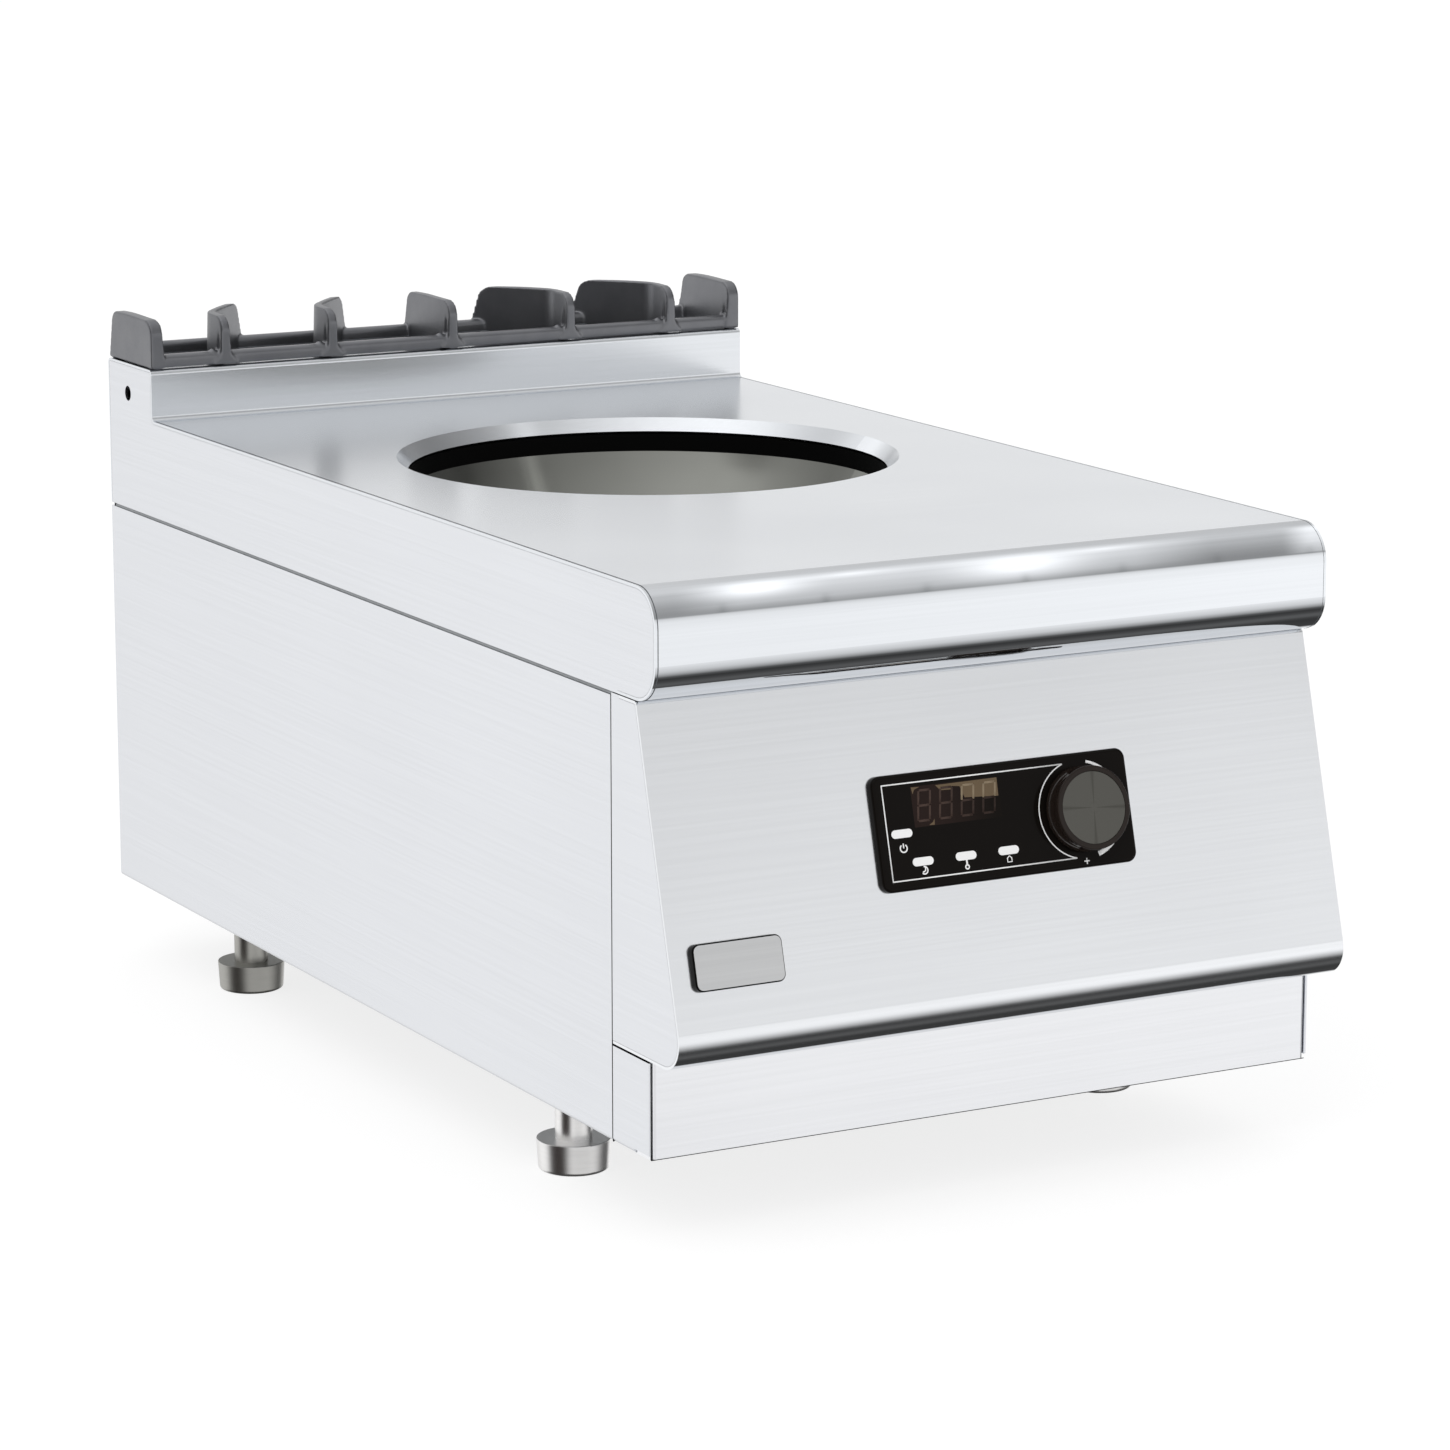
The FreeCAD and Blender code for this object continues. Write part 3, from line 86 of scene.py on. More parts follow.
# What the polished sheet mirrors. A direction has a rise in degrees, 0 at the front horizon, 90 overhead and
# 180 at the back, and a side, which is how far it leans right for each step ahead or up. Level with the
# object stand white walls over a dark table, and above it hangs a ceiling that darkens to the right.
def ramp(owner, value, lowest, highest, levels):
    """Grey levels along a value; the levels are pairs of the value and its brightness."""
    reach = add_node(owner, "MapRange", None, {"Value": value, "From Min": lowest, "From Max": highest})
    made = add_node(owner, "ValToRGB", None, {0: reach.outputs[0]})
    stops = made.color_ramp.elements
    for _ in levels[2:]:
        stops.new(0.5)
    for stop, (at, level) in zip(stops, levels):
        stop.position = (at - lowest) / (highest - lowest)
        stop.color = (level, level, level, 1)
    return made.outputs["Color"]


room = blank(bpy.data.worlds.new("studio_room"))
bpy.context.scene.world = room
place = add_node(room, "TexCoord")
way = add_node(room, "SeparateXYZ", None, {0: place.outputs["Generated"]})
forward = add_node(room, "Math", {"operation": "MULTIPLY"}, {0: way.outputs["Y"], 1: -1.0})
turn = add_node(room, "Math", {"operation": "ARCTAN2"}, {0: way.outputs["Z"], 1: forward.outputs[0]})
rise = add_node(room, "Math", {"operation": "DEGREES"}, {0: turn.outputs[0]}).outputs[0]
upright = add_node(room, "CombineXYZ", None, {0: way.outputs["Y"], 1: way.outputs["Z"]})
reach = add_node(room, "VectorMath", {"operation": "LENGTH"}, {0: upright.outputs[0]})
lean = add_node(room, "Math", {"operation": "DIVIDE"}, {0: way.outputs["X"], 1: reach.outputs["Value"]})
side = lean.outputs[0]

wall_gain, ceiling_gain, brightest = 1.04, 1.4, 1.2

horizon = ramp(room, rise, -180, 180, (
    (-180, 1.0), (-146, 0.95), (-135, 0.6), (-124, 0.05), (-88, 0.04), (-80, 0.06), (-74, 0.1), (-68, 0.1),
    (-60, 0.06), (-52, 0.04), (-45, 0.1), (-39, 0.34), (-32, 0.56),
    (-22, 0.86), (-15, 1.0), (-4, 0.98), (4, 0.95), (8, 0.93), (12, 0.89), (16, 0.81), (20, 0.7), (24, 0.58),
    (160, 0.6), (166, 0.9), (180, 0.95)))
sideways = ramp(room, side, -1, 1, (
    (-1, 0.96), (-0.45, 0.96), (-0.3, 0.8), (0.35, 0.8), (0.47, 0.93), (0.55, 0.94), (0.62, 0.97),
    (0.69, 1.01), (1, 1.01)))
horizon = add_node(room, "Math", {"operation": "MULTIPLY"}, {0: horizon, 1: sideways})
horizon = add_node(room, "Math", {"operation": "MULTIPLY"}, {0: horizon.outputs[0], 1: wall_gain}).outputs[0]
across_ceiling = ramp(room, side, -3, 3, (
    (-3, 0.55), (-1.2, 0.66), (-1.0, 0.78), (-0.87, 0.9), (-0.7, 1.0), (-0.36, 1.0), (-0.2, 0.97),
    (-0.04, 0.89), (0.13, 0.8), (0.31, 0.68), (0.52, 0.51), (0.69, 0.46), (0.8, 0.4), (1.15, 0.24),
    (1.73, 0.09), (3, 0.09)))
along_ceiling = ramp(room, rise, 0, 180, (
    (0, 0.46), (33, 0.46), (50, 0.54), (63, 0.64), (77, 0.76), (90, 0.8), (105, 1.0), (134, 0.93),
    (150, 0.89), (180, 0.89)))
back_left = ramp(room, side, -1, 0, ((-1, 1), (-0.45, 1), (-0.1, 0), (0, 0)))
back_wall = ramp(room, rise, 0, 180, (
    (0, 0), (90, 0), (99, 0.25), (113, 0.5), (129, 0.7), (143, 0.88), (156, 0.85), (170, 0.5), (180, 0.2)))
dim = add_node(room, "Math", {"operation": "MULTIPLY"}, {0: back_left, 1: back_wall})
undimmed = add_node(room, "Math", {"operation": "SUBTRACT"}, {0: ceiling_gain, 1: dim.outputs[0]})
plain = add_node(room, "Math", {"operation": "MULTIPLY"}, {0: across_ceiling, 1: along_ceiling})
lit = add_node(room, "Math", {"operation": "MULTIPLY"}, {0: plain.outputs[0], 1: undimmed.outputs[0]})
ceiling = lit.outputs[0]

# The bay over the front edge: a wide diffuser, a strip light at its end, and four soft lamps in it, each with
# its side, its rise, its spread either way and its power. Dark seams part the panels in front of them.
diffuser_power, end_power = 0.25, 0.5
lamps = ((0.5445, 86, 0.022, 50, 0.75), (0.569, 108, 0.018, 22, 0.25), (0.614, 74, 0.03, 76, 0.8),
         (0.637, 108, 0.016, 20, 0.25))
seam_first, seam_step, seam_half = 0.5358, 0.0264, 0.0011
diffuser_wide = ramp(room, side, 0.5, 0.7, (
    (0.5, 0), (0.524, 0), (0.54, 1), (0.645, 1), (0.666, 0), (0.7, 0)))
diffuser_long = ramp(room, rise, 0, 180, (
    (0, 0), (22, 0.2), (30, 0.5), (42, 1), (108, 1), (132, 0), (180, 0)))
diffuser = add_node(room, "Math", {"operation": "MULTIPLY"}, {0: diffuser_wide, 1: diffuser_long})
ceiling = add_node(room, "Math", {"operation": "MULTIPLY_ADD"},
                   {0: diffuser.outputs[0], 1: diffuser_power, 2: ceiling}).outputs[0]
end_wide = ramp(room, side, 0.68, 0.72, (
    (0.68, 0), (0.687, 0), (0.694, 1), (0.704, 1), (0.712, 0), (0.72, 0)))
end_long = ramp(room, rise, 0, 180, ((0, 0), (22, 0), (28, 0.7), (60, 1), (112, 1), (132, 0), (180, 0)))
end_light = add_node(room, "Math", {"operation": "MULTIPLY"}, {0: end_wide, 1: end_long})
ceiling = add_node(room, "Math", {"operation": "MULTIPLY_ADD"},
                   {0: end_light.outputs[0], 1: end_power, 2: ceiling}).outputs[0]
spot = add_node(room, "CombineXYZ", None, {0: side, 1: rise})
for at, degrees, wide, tall, power in lamps:
    lamp = add_node(room, "Mapping", {"vector_type": "TEXTURE"},
                    {"Vector": spot.outputs[0], "Location": (at, degrees, 0), "Scale": (wide, tall, 1)})
    glow = add_node(room, "TexGradient", {"gradient_type": "QUADRATIC_SPHERE"}, {0: lamp.outputs[0]})
    ceiling = add_node(room, "Math", {"operation": "MULTIPLY_ADD"},
                       {0: glow.outputs["Fac"], 1: power, 2: ceiling}).outputs[0]
ceiling = add_node(room, "Math", {"operation": "MINIMUM"}, {0: ceiling, 1: brightest}).outputs[0]
from_seam = add_node(room, "Math", {"operation": "SUBTRACT"}, {0: side, 1: seam_first})
near_seam = add_node(room, "Math", {"operation": "PINGPONG"}, {0: from_seam.outputs[0], 1: seam_step / 2})
seam = add_node(room, "MapRange", None, {"Value": near_seam.outputs[0], "From Max": seam_half, "To Min": 0.7,
                                         "To Max": 0.0})
fade = ramp(room, rise, 0, 90, ((0, 0), (20, 0), (23, 1), (36, 0.7), (56, 0), (90, 0)))
seam_line = add_node(room, "Math", {"operation": "MULTIPLY"}, {0: seam.outputs[0], 1: fade})
ceiling = add_node(room, "Mix", {"data_type": "RGBA"}, {0: seam_line.outputs[0], 6: ceiling,
                                                        7: srgb("#606464")}).outputs[2]
overhead = ramp(room, rise, 0, 180, ((0, 0), (20, 0), (24, 1), (160, 1), (165, 0), (180, 0)))
mirrored = add_node(room, "Mix", {"data_type": "RGBA"}, {0: overhead, 6: horizon, 7: ceiling}).outputs[2]

# A dark curtain stands at the left front, and darkens the faces of the grate that look that way.
left = ramp(room, way.outputs["X"], -1, 0, ((-1, 1), (-0.8, 1), (-0.62, 0), (0, 0)))
ahead = ramp(room, way.outputs["Y"], -1, 1, ((-1, 1), (0, 1), (0.3, 0), (1, 0)))
curtain = add_node(room, "Mix", {"data_type": "RGBA", "blend_type": "MULTIPLY"}, {0: 1.0, 6: left, 7: ahead})
mirrored = add_node(room, "Mix", {"data_type": "RGBA"}, {0: curtain.outputs[2], 6: mirrored,
                                                         7: srgb("#2a2422")}).outputs[2]

# Sheet that mirrors other sheet meets the room a second time: the table is hidden there by the front of the
# object, and the wall over the front edge is a step darker. What only lights the object is a plain white,
# and the camera sees a plain white too.
first_meeting, soft_level = 1.5, 0.78
path = add_node(room, "LightPath")
again = add_node(room, "Math", {"operation": "GREATER_THAN"}, {0: path.outputs["Glossy Depth"],
                                                               1: first_meeting})
second = ramp(room, rise, -180, 180, (
    (-180, 0.9), (-160, 0.9), (-140, 0.06), (-84, 0.06), (-76, 0.4), (-68, 0.6), (-52, 0.78), (-40, 0.78),
    (-30, 0.74), (-18, 0.76), (-3, 0.8), (5, 0.75), (13, 0.61), (180, 0.61)))
mirrored = add_node(room, "Mix", {"data_type": "RGBA"}, {0: again.outputs[0], 6: mirrored,
                                                         7: second}).outputs[2]
shown = add_node(room, "Math", {"operation": "MAXIMUM"}, {0: path.outputs["Is Camera Ray"],
                                                          1: path.outputs["Is Transmission Ray"]})
diffuse = add_node(room, "Background", None, {"Color": srgb("#ffffff"), "Strength": soft_level})
glossy = add_node(room, "Background", None, {"Color": mirrored, "Strength": 1.0})
open_view = add_node(room, "Background", None, {"Color": srgb("#ffffff"), "Strength": 1.0})
lighting = add_node(room, "MixShader", None, {0: path.outputs["Is Glossy Ray"], 1: diffuse.outputs[0],
                                              2: glossy.outputs[0]})
mixed = add_node(room, "MixShader", None, {0: shown.outputs[0], 1: lighting.outputs[0],
                                           2: open_view.outputs[0]})
add_node(room, "OutputWorld", None, {"Surface": mixed.outputs[0]})

# One large soft box, up on the left, gives the floor its shadow. The sheet doesn't mirror it.
box_wide, box_high, box_power = 2.4, 1.8, 22
box_place, aimed_at = Vector((-1.9, -1.6, 2.6)), Vector((0, 0, 0.25))
key = bpy.data.objects.new("key_light", bpy.data.lights.new("key_light", "AREA"))
key.data.shape = "RECTANGLE"
key.data.size = box_wide
key.data.size_y = box_high
key.data.energy = box_power
key.location = box_place
key.rotation_euler = (aimed_at - box_place).to_track_quat("-Z", "Y").to_euler()
key.visible_glossy = False
bpy.context.scene.collection.objects.link(key)


def link_piece(name, bm, material):
    """Turns a finished bmesh into an object at the origin, with its faces turned outwards."""
    bmesh.ops.recalc_face_normals(bm, faces=bm.faces)
    mesh = bpy.data.meshes.new(name)
    bm.to_mesh(mesh)
    bm.free()
    piece = bpy.data.objects.new(name, mesh)
    bpy.context.scene.collection.objects.link(piece)
    mesh.materials.append(material)
    return piece


# The floor: a pale matt sweep of studio paper that the object stands on. It keeps the shadow, and lifts to
# white where the camera sees it open.
floor_half, floor_back, floor_lift = 14, 4, 0.8
floor_paint = blank(bpy.data.materials.new("studio_floor"))
path = add_node(floor_paint, "LightPath")
lift = add_node(floor_paint, "Math", {"operation": "MULTIPLY"}, {0: path.outputs["Is Camera Ray"],
                                                                 1: floor_lift})
glow = add_node(floor_paint, "Emission", None, {"Color": srgb("#ffffff"), "Strength": lift.outputs[0]})
paint = add_node(floor_paint, "Mix", {"data_type": "RGBA"}, {0: path.outputs["Is Camera Ray"],
                                                             6: srgb("#eeeeee"), 7: srgb("#939393")})
matt = add_node(floor_paint, "BsdfDiffuse", None, {"Color": paint.outputs[2]})
both = add_node(floor_paint, "AddShader", None, {0: glow.outputs[0], 1: matt.outputs[0]})
add_node(floor_paint, "OutputMaterial", None, {"Surface": both.outputs[0]})
bm = bmesh.new()
bmesh.ops.create_grid(bm, x_segments=1, y_segments=1, size=floor_half)
bmesh.ops.translate(bm, vec=(0, floor_back, 0), verts=bm.verts)
floor = link_piece("floor", bm, floor_paint)
floor.visible_glossy = False


# The case: sheet steel, AISI 304, folded and spot welded, then satin ground on a belt. To the eye it is pale
# and softly mirror-like, with fine lines along the sheet. The real lines are about 0.1 mm apart, and are
# drawn 1.6 mm apart so that they show. Rolled edges are polished after bending, so the gloss rises there.
mm = 0.001
nodes = frame["nodes"]
noise_low, noise_high = 0.3, 0.7


def satin_steel(name, code, grain, roughness, contrast=0.03, polished=None):
    """Ground metal: grain is in lines for each metre, and polished is an axis and where the gloss rises."""
    gloss_drift, mirror_share, off_centre, slow = 0.02, 0.1, (0.31, 0.47, 0.37), 6.0
    steel = blank(bpy.data.materials.new(name))
    place = add_node(steel, "TexCoord")
    along = add_node(steel, "Mapping", None, {"Vector": place.outputs["Object"], "Location": off_centre,
                                              "Scale": grain})
    lines = add_node(steel, "TexNoise", None, {"Vector": along.outputs[0], "Scale": 1.0, "Detail": 2.0})
    drift = add_node(steel, "TexNoise", None, {"Vector": place.outputs["Object"], "Scale": slow,
                                               "Detail": 2.0})
    tone = add_node(steel, "MapRange", None, {"Value": lines.outputs["Fac"], "From Min": noise_low,
                                              "From Max": noise_high})
    light = srgb(code)
    dark = tuple(part * (1 - contrast) for part in light[:3]) + (1,)
    colour = add_node(steel, "Mix", {"data_type": "RGBA"}, {0: tone.outputs[0], 6: dark, 7: light})
    gloss = add_node(steel, "MapRange", None, {"Value": drift.outputs["Fac"], "From Min": noise_low,
                                               "From Max": noise_high, "To Min": roughness - gloss_drift,
                                               "To Max": roughness + gloss_drift}).outputs[0]
    if polished:
        axis, start, end = polished
        apart = add_node(steel, "SeparateXYZ", None, {0: place.outputs["Object"]})
        shine = add_node(steel, "MapRange", None, {"Value": apart.outputs[axis], "From Min": start * mm,
                                                   "From Max": end * mm, "To Min": 1.0,
                                                   "To Max": mirror_share})
        gloss = add_node(steel, "Math", {"operation": "MULTIPLY"}, {0: gloss, 1: shine.outputs[0]}).outputs[0]
    sheet = add_node(steel, "BsdfPrincipled", None, {"Base Color": colour.outputs[2], "Metallic": 1.0,
                                                     "Roughness": gloss})
    add_node(steel, "OutputMaterial", None, {"Surface": sheet.outputs[0]})
    return steel


def clad(material, *names):
    """Gives a finish to nodes that keep their own shape."""
    for name in names:
        mesh = nodes[name].data
        mesh.materials.clear()
        mesh.materials.append(material)


along_line, across_line = 5, 613
along_x = (along_line, across_line, across_line)
along_y = (across_line, along_line, across_line)
# The four copies of this one steel are given slightly different tones, lightest on the fascia and plinth and
# darkest on the sides: painted light.
side_steel = satin_steel("satin_steel_sides", "#eceef2", along_y, 0.25)
top_steel = satin_steel("satin_steel_worktop", "#eef1f5", along_x, 0.22, polished=("Y", -319, -331))
front_steel = satin_steel("satin_steel_fascia", "#f6f8fb", along_x, 0.2, polished=("Z", 109, 102))
plinth_steel = satin_steel("satin_steel_plinth", "#f8f9fc", along_x, 0.2)
clad(side_steel, "side_panel_left", "side_panel_right", "worktop_end_left", "worktop_end_right",
     "fascia_cheek_left", "fascia_cheek_right", "plinth_return_left", "plinth_return_right")
clad(top_steel, "worktop")
clad(front_steel, "fascia")
clad(plinth_steel, "plinth", "rear_panel")

# Inner sheet: the same steel as it comes from the mill, 2B, cut and folded but not ground. It looks duller
# and a little darker, with no lines.
mill_steel = satin_steel("mill_finish_steel", "#b9bcbe", (150, 150, 150), 0.42, 0.08)
clad(mill_steel, "base_plate", "side_rail_left", "side_rail_right", "flue_duct", "bowl_support_ring",
     "generator_tray")

# The small fixings: zinc plated steel, turned or drawn and barrel plated, screwed into the sheet. They look
# bluish grey and half matt.
zinc_steel = satin_steel("zinc_plated_steel", "#c3c6c8", (400, 400, 400), 0.36, 0.1)
clad(zinc_steel, "foot_sockets", "rear_panel_screws", "fan_screws", "intake_guard", "support_posts",
     "support_nuts", "earth_stud", "encoder_body", "knob_shaft")

# The levelling feet: turned stainless steel, screwed into their sockets. The lathe leaves fine rings. The
# front pair is painted near white and the rear pair darker, as lit and shaded copies of one steel: painted
# light and painted shade. The rear pair is also rougher.
front_foot_painted_lit = satin_steel("front_foot_steel_painted_lit", "#fbfaf9", (60, 60, 613), 0.3, 0.06)
clad(front_foot_painted_lit, "foot_front_left", "foot_front_right")
rear_foot_painted_shade = satin_steel("rear_foot_steel_painted_shade", "#b8b7b2", (60, 60, 613), 0.4, 0.06)
clad(rear_foot_painted_shade, "foot_rear_left", "foot_rear_right")

# The generator's metals: an extruded heat sink with draw lines down its fins, capacitor cans drawn in bright
# aluminium, turned brass spacers, and windings whose enamelled wire looks brown and glossy.
aluminium = satin_steel("extruded_aluminium", "#c9cbcd", (1200, 20, 1200), 0.4, 0.08)
clad(aluminium, "heat_sink")
can_aluminium = satin_steel("drawn_aluminium_can", "#d2d3d4", (100, 100, 30), 0.3, 0.05)
clad(can_aluminium, "capacitors")
brass = satin_steel("turned_brass", "#c9a860", (30, 30, 1500), 0.3, 0.08)
clad(brass, "board_spacers")
copper = satin_steel("enamelled_copper_wire", "#a8592f", (900, 900, 900), 0.35, 0.15)
clad(copper, "induction_coil", "line_choke")


# The inner mouldings and boards: nylon, phenolic, pressed ferrite and coated board, moulded or pressed, and
# screwed or clipped to the sheet. Each has a slow drift of tone and a fine grit in its gloss.
def moulding(name, code, grit_mm, roughness, depth=0.12, bump_mm=0.02, specular=0.5, fade=None):
    """A moulded or printed skin: depth is how far its tone drifts, and fade turns its colour along X."""
    gloss_drift, bump_share = 0.04, 0.3
    plastic = blank(bpy.data.materials.new(name))
    place = add_node(plastic, "TexCoord")
    grit = add_node(plastic, "TexNoise", None, {"Vector": place.outputs["Object"],
                                                "Scale": 1 / (grit_mm * mm), "Detail": 3.0})
    drift = add_node(plastic, "TexNoise", None, {"Vector": place.outputs["Object"], "Scale": 25.0})
    light = srgb(code)
    dark = tuple(part * (1 - depth) for part in light[:3]) + (1,)
    colour = add_node(plastic, "Mix", {"data_type": "RGBA"}, {0: drift.outputs["Fac"], 6: dark, 7: light})
    if fade:
        start, end, far_code = fade
        apart = add_node(plastic, "SeparateXYZ", None, {0: place.outputs["Object"]})
        share = add_node(plastic, "MapRange", None, {"Value": apart.outputs["X"], "From Min": start,
                                                     "From Max": end})
        colour = add_node(plastic, "Mix", {"data_type": "RGBA"}, {0: share.outputs[0], 6: colour.outputs[2],
                                                                  7: srgb(far_code)})
    rough = add_node(plastic, "MapRange", None, {"Value": grit.outputs["Fac"],
                                                 "To Min": roughness - gloss_drift,
                                                 "To Max": roughness + gloss_drift})
    bump = add_node(plastic, "Bump", None, {"Height": grit.outputs["Fac"], "Strength": bump_share,
                                            "Distance": bump_mm * mm})
    skin = add_node(plastic, "BsdfPrincipled", None, {"Base Color": colour.outputs[2],
                                                      "Roughness": rough.outputs[0],
                                                      "Normal": bump.outputs[0],
                                                      "Specular IOR Level": specular})
    add_node(plastic, "OutputMaterial", None, {"Surface": skin.outputs[0]})
    return plastic


black_plastic = moulding("black_glass_filled_nylon", "#1c1c1d", 0.8, 0.5)
clad(black_plastic, "fan_frame", "fan_rotor", "control_box", "cable_gland", "gland_nut", "gland_locknut",
     "power_modules", "display_module")
grey_plastic = moulding("grey_moulded_phenolic", "#8d8f8c", 0.8, 0.5)
clad(grey_plastic, "coil_carrier", "temperature_sensor", "terminal_block", "encoder_rotor")
ferrite = moulding("sintered_ferrite", "#3a3a3c", 0.5, 0.55)
clad(ferrite, "ferrite_bars")
board_green = moulding("solder_mask_board", "#1f4d33", 2.0, 0.35)
clad(board_green, "control_board", "power_board")

# The seal round the well: a ring of black silicone rubber, moulded and pressed under the collar. It is matt,
# and is painted nearly pure black with almost no reflection: painted shade for the shadow it lies in inside
# the well.
seal_rubber_painted_shade = moulding("black_silicone_rubber", "#060606", 0.6, 0.75, specular=0.08)
clad(seal_rubber_painted_shade, "bowl_seal")

# The bowl: pressed glass-ceramic with a grey metal lustre fired under a clear, smooth surface. It hangs by
# its flange between the seal and the support ring, and mirrors the room dimly and softly.
lustre = blank(bpy.data.materials.new("grey_lustre_glass_ceramic"))
place = add_node(lustre, "TexCoord")
cloud = add_node(lustre, "TexNoise", None, {"Vector": place.outputs["Object"], "Scale": 18.0, "Detail": 2.0})
colour = add_node(lustre, "Mix", {"data_type": "RGBA"}, {0: cloud.outputs["Fac"], 6: srgb("#868782"),
                                                         7: srgb("#92938e")})
gloss = add_node(lustre, "MapRange", None, {"Value": cloud.outputs["Fac"], "To Min": 0.1, "To Max": 0.16})
glass = add_node(lustre, "BsdfPrincipled", None, {"Base Color": colour.outputs[2], "Metallic": 0.92,
                                                  "Roughness": gloss.outputs[0]})
add_node(lustre, "OutputMaterial", None, {"Surface": glass.outputs[0]})
clad(lustre, "wok_bowl")

# The control panel: a moulded cover of black gloss ABS, clipped over the cut-out of the fascia. Its marks are
# printed in white. They are laid out flat, X across and Y up the slope, round the axis of the knob.
panel_black = moulding("black_gloss_panel", "#14110f", 1.5, 0.1, 0.1, 0.004, specular=0.06)
clad(panel_black, "control_panel_cover")

turning = next(joint for joint in frame["joints"] if joint["name"] == "knob_turn")
outwards = Vector(turning["axis"])
across = Vector((1, 0, 0))
slope = Matrix((across, outwards.cross(across), outwards)).transposed().to_4x4()
slope.translation = Vector(turning["pos_m"])
cover_height = max((slope.inverted() @ vertex.co).z for vertex in nodes["control_panel_cover"].data.vertices)


def bend(radius, start, end, centre=(0, 0), steps=24):
    """Points along a round stroke, in millimetres; the angles are degrees from the X axis."""
    turns = [math.radians(start + (end - start) * step / steps) for step in range(steps + 1)]
    return [(centre[0] + radius * math.cos(turn), centre[1] + radius * math.sin(turn)) for turn in turns]


same_point = 0.001 * mm


def drawn(name, strokes):
    """Round strokes as one mesh: each is its points, its width at either end, and whether it closes."""
    pen = bpy.data.curves.new(name, "CURVE")
    pen.dimensions = "3D"
    pen.bevel_depth = 0.5 * mm
    pen.bevel_resolution = 2
    pen.use_fill_caps = True
    for points, thin, thick, closed in strokes:
        run = pen.splines.new("POLY")
        run.points.add(len(points) - 1)
        for order, (point, at) in enumerate(zip(run.points, points)):
            point.co = [part * mm for part in (*at, 0)[:3]] + [1]
            point.radius = thin + (thick - thin) * order / (len(points) - 1)
        run.use_cyclic_u = closed
    bm = bmesh.new()
    bm.from_mesh(bpy.data.meshes.new_from_object(bpy.data.objects.new(name, pen)))
    bmesh.ops.remove_doubles(bm, verts=bm.verts, dist=same_point)
    return bm


def printed(name, strokes, material, lift):
    """Strokes pressed flat on the cover."""
    bm = drawn(name, strokes)
    bmesh.ops.scale(bm, vec=(1, 1, 0.1), verts=bm.verts)
    bmesh.ops.translate(bm, vec=(0, 0, cover_height + lift * mm), verts=bm.verts)
    bmesh.ops.transform(bm, matrix=slope, verts=bm.verts)
    piece = link_piece(name, bm, material)
    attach(piece, "body")


# The print: white screen ink, baked on, matt and a little uneven in cover. It draws a border that opens round
# the knob, a wedge that grows with the level, and signs for power, rest, heat and a covered pan.
ink_white = moulding("white_screen_ink", "#ffffff", 0.4, 0.6, 0.03, 0.004)
stroke, icon, thin_icon = 0.7, 0.75, 0.675
left_x, high_y, low_y, arc_radius = -116.4, 24.2, -24.8, 25.6
high_turn = 180 - math.degrees(math.asin(high_y / arc_radius))
low_turn = 180 + math.degrees(math.asin(-low_y / arc_radius))
arc = bend(arc_radius, high_turn, low_turn)
scale_mark, scale_thin, scale_thick = bend(24.9, 76, -74), 1.5, 2.7
power_x, power_y = -107.9, -8.5
moon_x, moon_y = -97.4, -20.8
stem_x, stem_y = -72.1, -20.4
pot_x, pot_y = -46.7, -20.8
plus_x, plus_y, plus_half = -0.7, -26.9, 1.6
strokes = [
    ([(left_x, low_y - stroke / 2), (left_x, high_y + stroke / 2)], stroke, stroke, False),
    ([(left_x, high_y), arc[0]], stroke, stroke, False),
    ([(left_x, low_y), arc[-1]], stroke, stroke, False),
    (arc, stroke, stroke, False),
    (scale_mark, scale_thin, scale_thick, False),
    (bend(2.0, 125, 415, (power_x, power_y)), icon, icon, False),
    ([(power_x, power_y), (power_x, power_y + 2.5)], icon, icon, False),
    (bend(1.9, 100, -135, (moon_x, moon_y)), icon, icon, False),
    (bend(1.6, 50, -100, (moon_x - 0.9, moon_y + 0.8)), icon, icon, False),
    ([(stem_x, stem_y + 2.4), (stem_x, stem_y - 1.0)], 1.1, 1.1, False),
    (bend(1.05, 0, 360, (stem_x, stem_y - 1.5))[:-1], icon, icon, True),
    ([(pot_x - 1.3, pot_y - 1.4), (pot_x - 1.3, pot_y + 0.6), (pot_x, pot_y + 1.7),
      (pot_x + 1.3, pot_y + 0.6), (pot_x + 1.3, pot_y - 1.4)], icon * 0.8, icon * 0.8, True),
    ([(plus_x - plus_half, plus_y), (plus_x + plus_half, plus_y)], thin_icon, thin_icon, False),
    ([(plus_x, plus_y - plus_half), (plus_x, plus_y + plus_half)], thin_icon, thin_icon, False)]
printed("panel_print", strokes, ink_white, 0.0)

# The readout: a smoked acrylic window with four unlit seven-segment digits behind it. The light that falls on
# the pale face of the module, in the upper right of the window and in two of its corners, is painted there as
# pale patches, and the upper segments of the two right digits, in that light, are painted lighter: painted
# light.
knob_place = turning["pos_m"][0]
# The smoked window and the unlit digits are painted darker towards the right: painted shade.
smoked = moulding("smoked_acrylic_window", "#2e2320", 6.0, 0.12, 0.3, 0.002, 0.06,
                  (knob_place - 85 * mm, knob_place - 52 * mm, "#16120f"))
painted_light_patch = moulding("painted_light_on_module", "#76654f", 2.5, 0.3, 0.35, 0.01, specular=0.1)
unlit = moulding("unlit_segment", "#52423c", 1.5, 0.3, 0.2, 0.01, 0.1,
                 (knob_place - 90 * mm, knob_place - 50 * mm, "#332925"))
painted_lit_segment = moulding("segment_painted_lit", "#94846d", 1.5, 0.3, 0.2, 0.01, specular=0.1)


